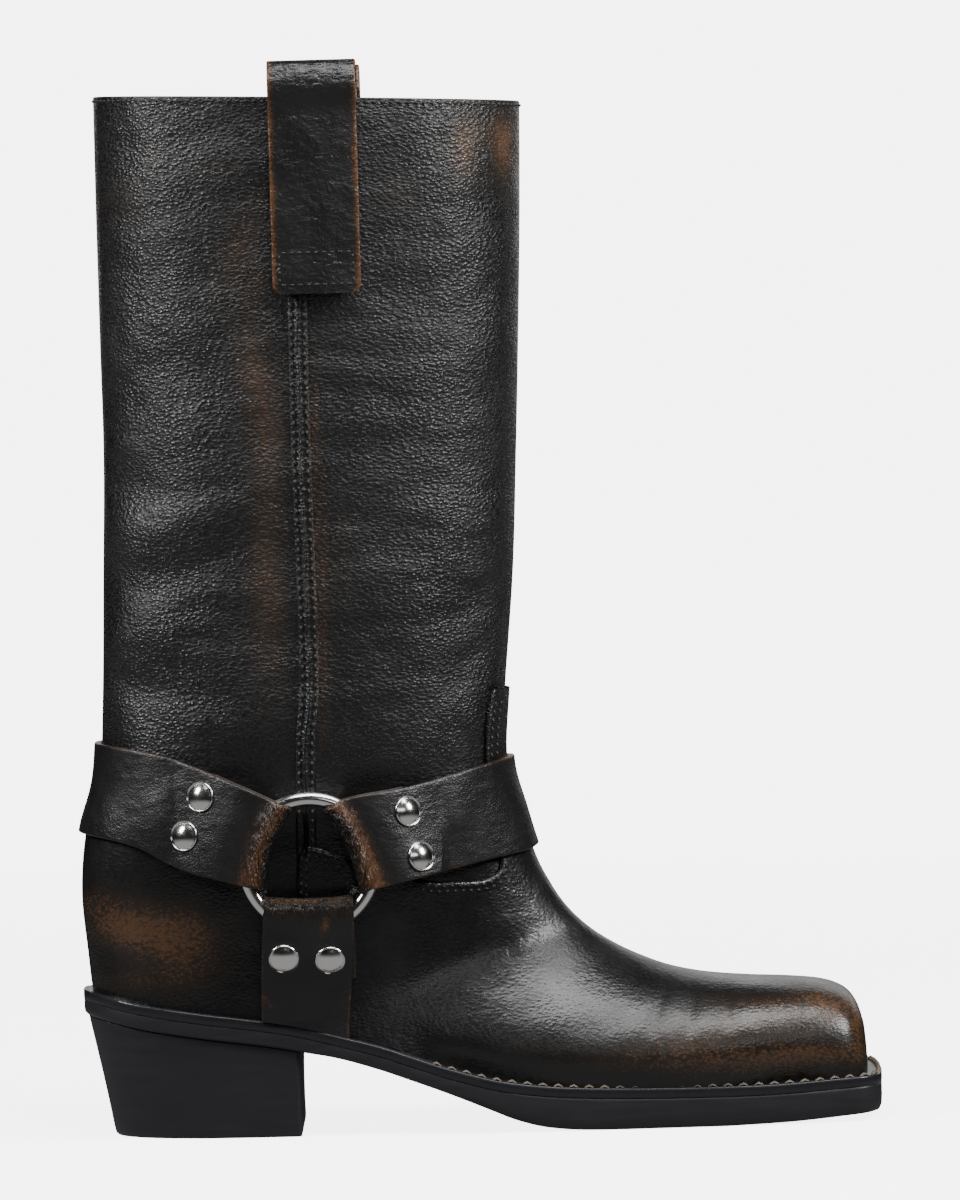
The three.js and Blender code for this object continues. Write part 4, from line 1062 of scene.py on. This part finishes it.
def alongSheet(sheet, length, at, share, side):
    # A row of points on a strap's face, at lengths from its end and shares of its width, linear in each cell
    at, share = np.broadcast_arrays(at, share)
    row, column = np.interp(at, length, np.arange(len(length))), share * (sheet.shape[1] - 1)
    r, c = row.astype(int), column.astype(int)
    u, v = (row - r)[:, None], (column - c)[:, None]
    points = (1 - u) * ((1 - v) * sheet[r, c] + v * sheet[r, c + 1])
    points = points + u * ((1 - v) * sheet[r + 1, c] + v * sheet[r + 1, c + 1])
    return points, np.tile([0.0, side, 0.0], (len(points), 1))


def makePullStraps(material):
    facts = pullSettings
    thick = facts["thickness"]
    outside, inside = facts["overSeam"] + thick / 2, -last["wall"] - last["gap"] - thick / 2
    collar = collarAt(facts["forward"])
    middle, spread = (outside + inside) / 2, (facts["loopGap"] + thick) / 2
    arch = facts["rise"] - facts["shoulder"] - thick / 2
    path = [(outside, collar - facts["drop"] * share) for share in (1, 0.8, 0.6, 0.4, 0.2, 0.05)]
    path += [(middle + spread * math.cos(bend), collar + facts["shoulder"] + arch * math.sin(bend))
             for bend in np.linspace(0.12, math.pi - 0.12, 7)]
    path += [(inside, collar - facts["insideDrop"] * share) for share in (0.08, 0.35, 0.7, 1)]
    curve = smoothPath(path, 120)
    tangent = unit(np.gradient(curve, axis=0))
    curve = curve + np.stack([tangent[:, 1], -tangent[:, 0]], axis=1) * thick / 2
    length = np.concatenate([[0], np.cumsum(np.linalg.norm(np.diff(curve, axis=0), axis=1))])
    fromEnd = np.minimum(length, length[-1] - length)
    corner = facts["cornerRadius"]
    narrow = corner - np.sqrt(np.clip(corner**2 - (corner - np.clip(fromEnd, 0.05, corner)) ** 2, 0, None))
    share = np.linspace(-0.5, 0.5, facts["across"])
    for sideName, side in (("lateral", -1), ("medial", 1)):
        x = facts["forward"] + share[None, :] * (facts["width"] - 2 * narrow[:, None])
        z = np.minimum(curve[:, 1], collar)[:, None] + 0 * x
        place, angle = locate(x, np.minimum(z, collarAt(x) - 0.2), side)
        skin = basePoint(place, angle)[..., 1]
        bow = 0.5 * np.sin(length * 0.09)[:, None] * (1 - smoothStep(60, 75, length))[:, None]
        y = skin + side * (curve[:, :1] + 0.25 + 0.18 * bow)
        sheet = np.stack([x, y, curve[:, 1:] + 0 * x], axis=-1)
        # The stitched box at the strap's lower end
        low, high, margin = facts["boxLow"], facts["boxHigh"], facts["boxMargin"]
        sides, line = np.linspace(low + 0.2, high - 0.2, 12), np.linspace(margin, 1 - margin, 20)
        for at, part in ((high, line), (low, line), (sides, margin), (sides, 1 - margin)):
            pullRows.append(alongSheet(sheet, length, at, part, side))
        wear = strapAttributes(sheet, [], [], 0.85, 1.9)
        sheetSolid("pullStrap" + sideName.title(), sheet, thick, material,
                   ["pull_strap_" + sideName], wear, float(side))


def makeInsole(material):
    # Floor of the boot: the feather outline moved in, a little under the lining
    rings = []
    for inset, lift in ((7.4, -3.6), (7.4, 0.3), (2.9, 0.4), (2.6, 0.8), (2.9, 2.6), (4.0, 2.9)):
        loop = featherOutline - loopNormals(featherOutline) * inset
        rings.append(withZ(loop, featherZ(loop[:, 0]) + lift))
    return finishSolid("insoleLeather", loopSolid(rings), material, ["insole"])


# Stitches. A row's thread: pitch, length as a share of it, radius, rise (mm)
stitchSettings = {
    "seamStitches": (3.4, 0.64, 0.50, 0.38), "vampStitches": (3.0, 0.70, 0.50, 0.22),
    "collarStitches": (3.0, 0.66, 0.46, 0.2), "pullStitches": (2.7, 0.64, 0.36, 0.12),
    "weltStitches": (5.4, 0.70, 0.85, 0.75),
    "overSeam": 0.85, "seamAsides": (-2.3, 2.2), "vampInsets": (1.5, 3.3), "collarDrop": 1.6,
    "weltInset": 1.2, "weltDrop": 0.2, "weltStart": 122, "weltMiddle": 150,
}


def rowAt(table, key, places):
    return np.stack([np.interp(places, key, table[:, k]) for k in range(3)], axis=-1)


def stitches(name, rows, material):
    # Rows of short threads, joined in one mesh. Each row is an array of points and one of outward directions.
    # A thread is a tube whose middle, at step s along it, stands at rise - 1.2 * radius * (2 * s)^2.
    pitch, share, radius, rise = stitchSettings[name]
    steps, sizes = np.array([(-0.5, 0.25), (-0.36, 0.8), (0, 1.0), (0.36, 0.8), (0.5, 0.25)]).T
    turn = np.linspace(0, 2 * math.pi, 6, endpoint=False)
    index = np.arange(len(steps) * len(turn)).reshape(len(steps), len(turn))
    thread = gridFaces(*index.shape, closed=True, flip=True).tolist()
    thread += [index[0, ::-1].tolist(), index[-1].tolist()]
    half = pitch * share / 2
    points, faces = [], []
    for path, normals in rows:
        key = np.concatenate([[0], np.cumsum(np.linalg.norm(np.diff(path, axis=0), axis=1))])
        count = max(int(key[-1] / pitch), 1)
        spot = (np.arange(count) + 0.5) * key[-1] / count
        before, middle, after = (rowAt(path, key, spot + d) for d in (-half, 0, half))
        out, along = unit(rowAt(normals, key, spot)), unit(after - before)
        lift = rise - radius * 1.2 * (2 * steps) ** 2
        centre = middle[:, None] + along[:, None] * (2 * half * steps)[:, None] + out[:, None] * lift[:, None]
        circle = np.cross(along, out)[:, None] * np.cos(turn)[:, None]
        circle = circle + out[:, None] * np.sin(turn)[:, None] * 0.8
        tubes = centre[:, :, None] + circle[:, None] * (radius * sizes)[:, None, None]
        points.append(tubes.reshape(-1, 3))
    points = np.concatenate(points)
    for start in range(0, len(points), index.size):
        faces += [[start + corner for corner in face] for face in thread]
    return makeMesh(name, points, faces, material, (), 60)


# Worn places in the side view: forward, up, half length, half width (mm), tilt (degrees), strength
upperWear = [
    (65, 314, 22, 7, 62, 0.50), (70, 300, 8, 5, 80, 0.52), (68, 272, 24, 7, 96, 0.52),
    (73, 244, 30, 8, 92, 0.45), (70, 205, 28, 7, 88, 0.50), (72, 176, 26, 7, 86, 0.46),
    (89, 250, 32, 2.8, 90, 0.60), (89, 204, 28, 3.2, 90, 0.65), (89, 168, 18, 2.8, 90, 0.75),
    (88, 140, 12, 2.2, 90, 0.4), (97, 204, 24, 7, 90, 0.25), (144, 346, 6, 14, 0, 0.85),
    (158, 346, 5, 14, 0, 0.95), (150, 352, 9, 4, 0, 0.4), (36, 346, 5, 4, 0, 0.35),
    (20, 75, 20, 9, -8, 1.0), (38, 69, 15, 14, 0, 0.85), (8, 83, 9, 7, 0, 0.5), (22, 56, 20, 5, 0, 0.45),
    (254, 24, 24, 4.5, 0, 1.0), (232, 22, 30, 5, 0, 0.85), (264, 41, 10, 5, -20, 0.8),
    (250, 42, 24, 3, -3, 0.5), (246, 36, 34, 8, 0, 0.55), (274, 33, 3, 12, 0, 0.8),
    (190, 25, 30, 5, 4, 0.35), (160, 30, 16, 5, 8, 0.2), (217, 30, 24, 8, 0, 0.4),
    (120, 330, 10, 6, 0, 0.3), (25, 330, 10, 10, 0, 0.3), (60, 340, 10, 5, 0, 0.3),
]


def wearAt(points, spots):
    # Strength of the worn places at points on the leather: a soft oval for each, on both sides of the boot
    total = np.zeros(len(points))
    for middleX, middleZ, long, short, tilt, strength in spots:
        along, across = ovalShares(points[:, 0], points[:, 2], middleX, middleZ, long, short, tilt)
        total = 1 - (1 - total) * (1 - strength * np.exp(-along**2 - across**2))
    return total


def addWear(piece, spots):
    # Attributes of the upper's leather: how worn each point is, and how far it is on the foot
    mesh = piece.data
    points = np.empty(len(mesh.vertices) * 3)
    mesh.vertices.foreach_get("co", points)
    points = points.reshape(-1, 3) * 1000
    points[:, 0] += view["originForward"]
    foot = 1 - smoothStep(*leatherSettings["footBelow"], points[:, 2])
    for key, values in (("wear", wearAt(points, spots)), ("foot", foot)):
        layer = mesh.attributes.new(key, "FLOAT", "POINT")
        layer.data.foreach_set("value", values.astype(np.float32))


# Materials
class Nodes:
    # A few short ways to add nodes to one material

    def __init__(self, name):
        self.material = bpy.data.materials.new(name)
        self.material.use_nodes = True
        self.tree = self.material.node_tree
        self.shader = self.tree.nodes["Principled BSDF"]
        self.place = self.tree.nodes.new("ShaderNodeTexCoord").outputs["Object"]

    def add(self, kind, inputs=None, **settings):
        node = self.tree.nodes.new("ShaderNode" + kind)
        for key, value in settings.items():
            setattr(node, key, value)
        for key, value in (inputs or {}).items():
            self.put(node.inputs[key], value)
        return node

    def put(self, socket, value):
        if isinstance(value, bpy.types.NodeSocket):
            self.tree.links.new(value, socket)
        else:
            socket.default_value = value

    def swing(self, value, middle, amount):
        return self.math("MULTIPLY", self.math("SUBTRACT", value, middle), amount)

    def shifted(self, vector, scale, detail, amount):
        # A place moved a little by a noise's colour, so that what reads it bends
        node = self.add("VectorMath", {0: vector}, operation="ADD")
        shift = self.add("TexNoise", {"Vector": vector, "Scale": scale, "Detail": detail}).outputs["Color"]
        self.put(node.inputs[1], self.add("VectorMath", {0: shift, 3: amount}, operation="SCALE").outputs[0])
        return node.outputs[0]

    def math(self, operation, first, second=0.0, clamp=False):
        node = self.add("Math", {0: first, 1: second}, operation=operation, use_clamp=clamp)
        return node.outputs[0]

    def attribute(self, name):
        return self.add("Attribute", attribute_name=name).outputs["Fac"]

    def scaled(self, scale, turn=(0, 0, 0)):
        node = self.add("Mapping", {"Vector": self.place, "Scale": scale, "Rotation": turn})
        return node.outputs["Vector"]

    def noise(self, vector, scale, detail=3.0, rough=0.5):
        node = self.add("TexNoise", {"Vector": vector, "Scale": scale, "Detail": detail, "Roughness": rough})
        return node.outputs["Fac"]

    def cells(self, vector, scale, feature="F1"):
        node = self.add("TexVoronoi", {"Vector": vector, "Scale": scale}, feature=feature)
        return node.outputs["Distance"]

    def span(self, value, low, high, to=(0.0, 1.0), smooth=False):
        node = self.add("MapRange", {"Value": value, "From Min": low, "From Max": high, "To Min": to[0],
                                     "To Max": to[1]}, clamp=True,
                        interpolation_type="SMOOTHSTEP" if smooth else "LINEAR")
        return node.outputs["Result"]

    def mix(self, share, first, second):
        node = self.add("Mix", data_type="RGBA")
        self.put(node.inputs["Factor"], share)
        self.put(node.inputs[6], first)
        self.put(node.inputs[7], second)
        return node.outputs[2]

    def bump(self, height, distance, strength=1.0, normal=None):
        inputs = {"Height": height, "Distance": distance, "Strength": strength}
        if normal is not None:
            inputs["Normal"] = normal
        return self.add("Bump", inputs).outputs["Normal"]

    def finish(self, **inputs):
        for key, value in inputs.items():
            self.put(self.shader.inputs[key.replace("_", " ")], value)
        return self.material


leatherSettings = {
    "black": (0.0048, 0.0047, 0.0052, 1), "softBlack": (0.0070, 0.0066, 0.0064, 1),
    "brown": (0.095, 0.046, 0.021, 1), "darkBrown": (0.019, 0.0125, 0.008, 1),
    "lining": ((0.05, 0.033, 0.02, 1), (0.075, 0.05, 0.032, 1)),
    "grain": 820.0, "pebbleDepth": 0.000384, "fineDepth": 0.00024, "hillDepth": 0.0105, "foldDepth": 0.0006,
    "roughness": (0.20, 0.27), "footBelow": (110, 165),
}
strapColours = {
    "black": (0.0085, 0.0084, 0.0088, 1), "softBlack": (0.0130, 0.0126, 0.0122, 1),
    "darkBrown": (0.030, 0.014, 0.007, 1), "brown": (0.098, 0.042, 0.016, 1),
    "inside": (0.018, 0.014, 0.011, 1),
}
strapFinish = {
    "strapLeather": {"crackDepth": 0.00003, "creaseDepth": 0.00022, "waves": 40, "roughness": (0.30, 0.42)},
    "pullLeather": {"crackDepth": 0.00022, "creaseDepth": 0.0008, "waves": 70, "roughness": (0.22, 0.34)},
}
soleBlack = {
    "dark": (0.0165, 0.0165, 0.0195, 1), "light": (0.0200, 0.0200, 0.0235, 1),
    "soleLeather": 0.38, "weltLeather": 0.22,
}


def makeUpperLeather(name):
    # Black pull-up leather: pebbled on the shaft, smoother on the foot, with brown rubbed through
    facts = leatherSettings
    n = Nodes(name)
    foot, wear, liner = n.attribute("foot"), n.attribute("wear"), n.attribute("lining")
    wide = n.scaled((0.72, 0.72, 1.25), (0, 0.35, 0))
    swirl = n.noise(wide, 40, 3, 0.6)
    bent = n.shifted(wide, 120.0, 2.0, 0.0009)
    pebble = n.math("SUBTRACT", 1.0, n.cells(bent, facts["grain"]))
    fine = n.noise(bent, 1500, 2, 0.6)
    patch = n.noise(n.place, 28, 3, 0.6)
    speck = n.math("ADD", wear, n.swing(patch, 0.5, 0.55))
    speck = n.math("ADD", speck, n.swing(fine, 0.5, 1.1))
    speck = n.math("ADD", speck, n.swing(pebble, 0.62, 0.7))
    brownShare = n.math("MULTIPLY", n.span(speck, 0.36, 1.05, smooth=True), n.span(wear, 0.04, 0.25))
    tone = n.mix(n.span(swirl, 0.35, 0.75), facts["black"], facts["softBlack"])
    warm = n.mix(n.math("MULTIPLY", n.span(wear, 0.05, 0.5), 0.8), tone, facts["darkBrown"])
    colour = n.mix(brownShare, warm, facts["brown"])
    colour = n.mix(liner, colour, n.mix(n.span(n.noise(n.place, 300, 3), 0.3, 0.7), *facts["lining"]))
    grainShare = n.span(foot, 0.0, 1.0, (1.0, 0.22))
    hills = n.noise(n.scaled((0.8, 0.8, 1.3), (0, 0.35, 0)), 25, 2, 0.5)
    folds = n.noise(n.scaled((1.2, 0.9, 0.7), (0, -0.5, 0)), 170, 4, 0.62)
    normal = n.bump(n.math("MULTIPLY", pebble, grainShare), facts["pebbleDepth"])
    normal = n.bump(n.math("MULTIPLY", fine, grainShare), facts["fineDepth"], 1.0, normal)
    hillShare = n.span(foot, 0.0, 1.0, (1.0, 0.25))
    normal = n.bump(n.math("MULTIPLY", hills, hillShare), facts["hillDepth"], 0.5, normal)
    normal = n.bump(n.math("MULTIPLY", folds, foot), facts["foldDepth"], 0.5, normal)
    pores = n.math("MULTIPLY", n.span(pebble, 0.62, 0.45), grainShare)
    rough = n.math("ADD", n.span(foot, 0.0, 1.0, facts["roughness"]), n.math("MULTIPLY", pores, 0.25))
    rough = n.math("ADD", rough, n.swing(patch, 0.46, 0.55))
    rough = n.math("ADD", rough, n.math("MULTIPLY", liner, 0.3), True)
    return n.finish(Base_Color=colour, Roughness=rough, Normal=normal, Coat_Weight=0.15, Coat_Roughness=0.42)


def makeStrapLeather(name):
    # Strap leather: smoother, with fine creases, brown where it folds and along its edges
    colours, finish = strapColours, strapFinish[name]
    n = Nodes(name)
    wear, wrinkle = n.attribute("wear"), n.attribute("wrinkle")
    patch = n.noise(n.place, 60, 3, 0.6)
    fine = n.noise(n.place, 1300, 3, 0.6)
    speck = n.cells(n.place, 1500)
    mask = n.math("ADD", wear, n.swing(fine, 0.5, 1.9))
    mask = n.math("ADD", mask, n.swing(patch, 0.5, 1.5))
    share = n.math("MULTIPLY", n.span(mask, 0.35, 0.95, smooth=True), n.span(wear, 0.03, 0.3))
    tone = n.mix(n.span(patch, 0.4, 0.7), colours["black"], colours["softBlack"])
    tone = n.mix(n.math("MULTIPLY", wear, 0.7), tone, colours["darkBrown"])
    colour = n.mix(share, tone, colours["brown"])
    colour = n.mix(n.attribute("inside"), colour, colours["inside"])
    bent = n.shifted(n.place, 130.0, 3.0, 0.006)
    cracks = n.span(n.cells(bent, 230, "DISTANCE_TO_EDGE"), 0.0, 0.22, smooth=True)
    cracks = n.math("MULTIPLY", cracks, n.span(n.noise(n.place, 110, 2), 0.46, 0.62))
    creased = n.noise(n.scaled((0.55, 0.55, 1.3), (0, 0.4, 0)), 300, 4, 0.6)
    hair = n.noise(n.scaled((1.6, 1.6, 0.3)), 330, 3, 0.7)
    normal = n.bump(cracks, finish["crackDepth"], 0.8)
    normal = n.bump(creased, finish["creaseDepth"], 0.9, normal)
    normal = n.bump(n.math("ADD", fine, n.math("MULTIPLY", speck, 0.5)), 0.00013, 0.9, normal)
    normal = n.bump(n.math("MULTIPLY", hair, wrinkle), 0.0065, 1.0, normal)
    normal = n.bump(n.noise(n.place, finish["waves"], 3), 0.0022, 0.6, normal)
    rough = n.span(patch, 0.2, 0.8, finish["roughness"])
    return n.finish(Base_Color=colour, Roughness=rough, Normal=normal)


def makeSoleBlack(name):
    # Waxed black edge of welt, sole and heel
    gloss = soleBlack[name]
    n = Nodes(name)
    patch = n.noise(n.scaled((0.3, 0.3, 2.5)), 160, 3, 0.6)
    colour = n.mix(n.span(patch, 0.3, 0.8), soleBlack["dark"], soleBlack["light"])
    normal = n.bump(patch, 0.00012, 0.6)
    rough = n.span(patch, 0.2, 0.8, (gloss, gloss + 0.12))
    return n.finish(Base_Color=colour, Roughness=rough, Normal=normal)


def makeNickel(name):
    n = Nodes(name)
    rough = n.span(n.noise(n.place, 400, 2), 0.3, 0.7, (0.15, 0.22))
    return n.finish(Base_Color=(0.80, 0.79, 0.77, 1), Metallic=1.0, Roughness=rough)


def makeInsoleLeather(name):
    n = Nodes(name)
    colour = n.mix(n.noise(n.place, 200, 3), (0.16, 0.09, 0.05, 1), (0.22, 0.13, 0.075, 1))
    return n.finish(Base_Color=colour, Roughness=0.75, Normal=n.bump(n.noise(n.place, 900, 3), 0.0002))


def makeThread(name, colour):
    n = Nodes(name)
    twist = n.noise(n.place, 2500, 2)
    return n.finish(Base_Color=(*colour, 1), Roughness=0.55, Normal=n.bump(twist, 0.0001))


blackLeather = makeUpperLeather("blackLeather")
strapLeather = makeStrapLeather("strapLeather")
pullLeather = makeStrapLeather("pullLeather")
soleLeather = makeSoleBlack("soleLeather")
weltLeather = makeSoleBlack("weltLeather")
nickel = makeNickel("nickel")
insoleTan = makeInsoleLeather("insoleTan")
blackThread = makeThread("blackThread", (0.016, 0.015, 0.014))
weltThread = makeThread("weltThread", (0.11, 0.088, 0.062))

for wornPiece in [makeUpper(blackLeather), makeVamp(blackLeather), *makeSeams(blackLeather)]:
    addWear(wornPiece, upperWear)
makeWelt(weltLeather)
makeOutsole(soleLeather)
makeHeel(soleLeather)
makeInsole(insoleTan)
makeStraps(strapLeather)
makeRings(nickel)
makeRivets(nickel)
makePullStraps(pullLeather)


# Stitch rows
def surfaceRow(x, z, side, height):
    # A row of points on one side of the boot, a set height over the leather, with its outward directions
    place, angle = locate(x, z, side)
    return skinAt(place, angle, np.full(np.shape(x), height)), surfaceNormal(place, angle, basePoint)


def insetLine(outline, inset):
    # An open side-view line moved sideways by an inset, to its right as it runs
    along = unit(np.gradient(outline, axis=0))
    return outline + np.stack([-along[:, 1], along[:, 0]], axis=1) * inset


def makeStitches():
    seamX, seamZ = seamCentre(200)
    rows = [surfaceRow(seamX + aside, seamZ, side, last["gap"] + stitchSettings["overSeam"])
            for side in (-1, 1) for aside in stitchSettings["seamAsides"]]
    stitches("seamStitches", rows, blackThread)
    rows = []
    for inset in stitchSettings["vampInsets"]:
        line = insetLine(vampLine[:-3], inset)
        line = line[(line[:, 1] > featherZ(line[:, 0]) + 3) & (line[:, 1] < vampLine[0, 1] - 13)]
        for side in (-1, 1):
            rows.append(surfaceRow(line[:, 0], line[:, 1], side,
                                   vampSettings["gap"] + vampSettings["thickness"]))
    stitches("vampStitches", rows, blackThread)
    angles = np.linspace(0, 2 * math.pi, 700)
    collar = np.full(len(angles), 1.0)
    top = skinAt(collar, angles, 0 * angles)
    top[:, 2] -= stitchSettings["collarDrop"]
    rows = [(top, surfaceNormal(collar, angles, basePoint))]
    stitches("collarStitches", rows, blackThread)
    stitches("pullStitches", pullRows, blackThread)
    # The welt's row runs round the forefoot from flank to flank
    line = soleOutline(stitchSettings["weltInset"])[featherOutline[:, 0] > stitchSettings["weltStart"]]
    line = line[np.argsort(np.arctan2(line[:, 1], line[:, 0] - stitchSettings["weltMiddle"]))]
    row = withZ(line, featherZ(line[:, 0]) - stitchSettings["weltDrop"])
    stitches("weltStitches", [(row, np.tile([0, 0, 1.0], (len(row), 1)))], weltThread)


makeStitches()

# Studio: a pale floor that rises into a pale wall all round, soft lights to the left and right of the camera
# and above. The room's glow shows to the camera alone; the leather's light and gloss come from the lamps and
# from the sky below.
stageSettings = {
    "floorNear": 4.6, "floorFar": 6.0, "floorColour": 0.8,
    "skyFrom": -0.36, "skyTo": -0.10, "skyLow": 0.36, "skyHigh": 0.010, "target": (0.06, 0, 0.17),
    "room": [(0.0, 0.0), (1.0, 0.0), (3.0, 0.0), (9.0, 0.0), (11.0, 0.2), (12.4, 1.0), (13.0, 3.0),
             (12.0, 9.0),
             (7.0, 13.0), (0.0, 14.0)],
    "lights": [("leftSoft", (-0.94, -0.40, 0.84), (0.34, 0.46), 14.5),
               ("rightSoft", (1.02, -0.46, 0.78), (0.34, 0.46), 14),
               ("frontSoft", (0.50, -1.45, 0.66), (0.6, 0.3), 1.5),
               ("topSoft", (0.20, -0.45, 1.40), (1.1, 0.6), 20),
               ("backSoft", (0.25, 1.50, 0.65), (1.8, 0.9), 5.5)],
}


def makeStage():
    facts = stageSettings
    turn = np.linspace(0, 2 * math.pi, 64, endpoint=False)
    points = [(r * math.cos(a), r * math.sin(a), z) for r, z in facts["room"] for a in turn]
    mesh = bpy.data.meshes.new("floor")
    mesh.from_pydata(points, [], gridFaces(len(facts["room"]), len(turn), closed=True).tolist())
    mesh.polygons.foreach_set("use_smooth", np.ones(len(mesh.polygons), bool))
    floor = bpy.data.objects.new("floor", mesh)
    bpy.context.scene.collection.objects.link(floor)
    floor.visible_glossy = False
    floor.visible_diffuse = False
    n = Nodes("paleFloor")
    reach = n.add("VectorMath", {0: n.place}, operation="LENGTH").outputs["Value"]
    glow = n.span(reach, 0.25, 2.2, (facts["floorNear"], facts["floorFar"]), True)
    grey = facts["floorColour"]
    n.finish(Base_Color=(grey, grey, grey, 1), Roughness=0.9, Specular_IOR_Level=0.0,
             Emission_Color=(1, 1, 1, 1), Emission_Strength=glow)
    mesh.materials.append(n.material)
    # The sky is brighter below than above: its strength follows the upward share of each direction
    world = bpy.data.worlds.new("studio")
    bpy.context.scene.world = world
    world.use_nodes = True
    tree = world.node_tree
    background = tree.nodes["Background"]
    direction = tree.nodes.new("ShaderNodeTexCoord").outputs["Generated"]
    split = tree.nodes.new("ShaderNodeSeparateXYZ")
    share = tree.nodes.new("ShaderNodeMapRange")
    tree.links.new(direction, split.inputs[0])
    tree.links.new(split.outputs[2], share.inputs["Value"])
    for key, value in (("From Min", facts["skyFrom"]), ("From Max", facts["skyTo"]),
                       ("To Min", facts["skyLow"]),
                       ("To Max", facts["skyHigh"])):
        share.inputs[key].default_value = value
    tree.links.new(share.outputs["Result"], background.inputs["Strength"])
    background.inputs["Color"].default_value = (1, 1, 1, 1)
    target = Vector(facts["target"])
    for name, place, size, power in facts["lights"]:
        lamp = bpy.data.lights.new(name, "AREA")
        lamp.shape = "RECTANGLE"
        lamp.size, lamp.size_y = size
        lamp.energy = power
        light = bpy.data.objects.new(name, lamp)
        bpy.context.scene.collection.objects.link(light)
        light.location = place
        light.visible_camera = False
        light.rotation_euler = (target - Vector(place)).to_track_quat("-Z", "Y").to_euler()
    print("studio,", len(facts["lights"]), "lights")


makeStage()
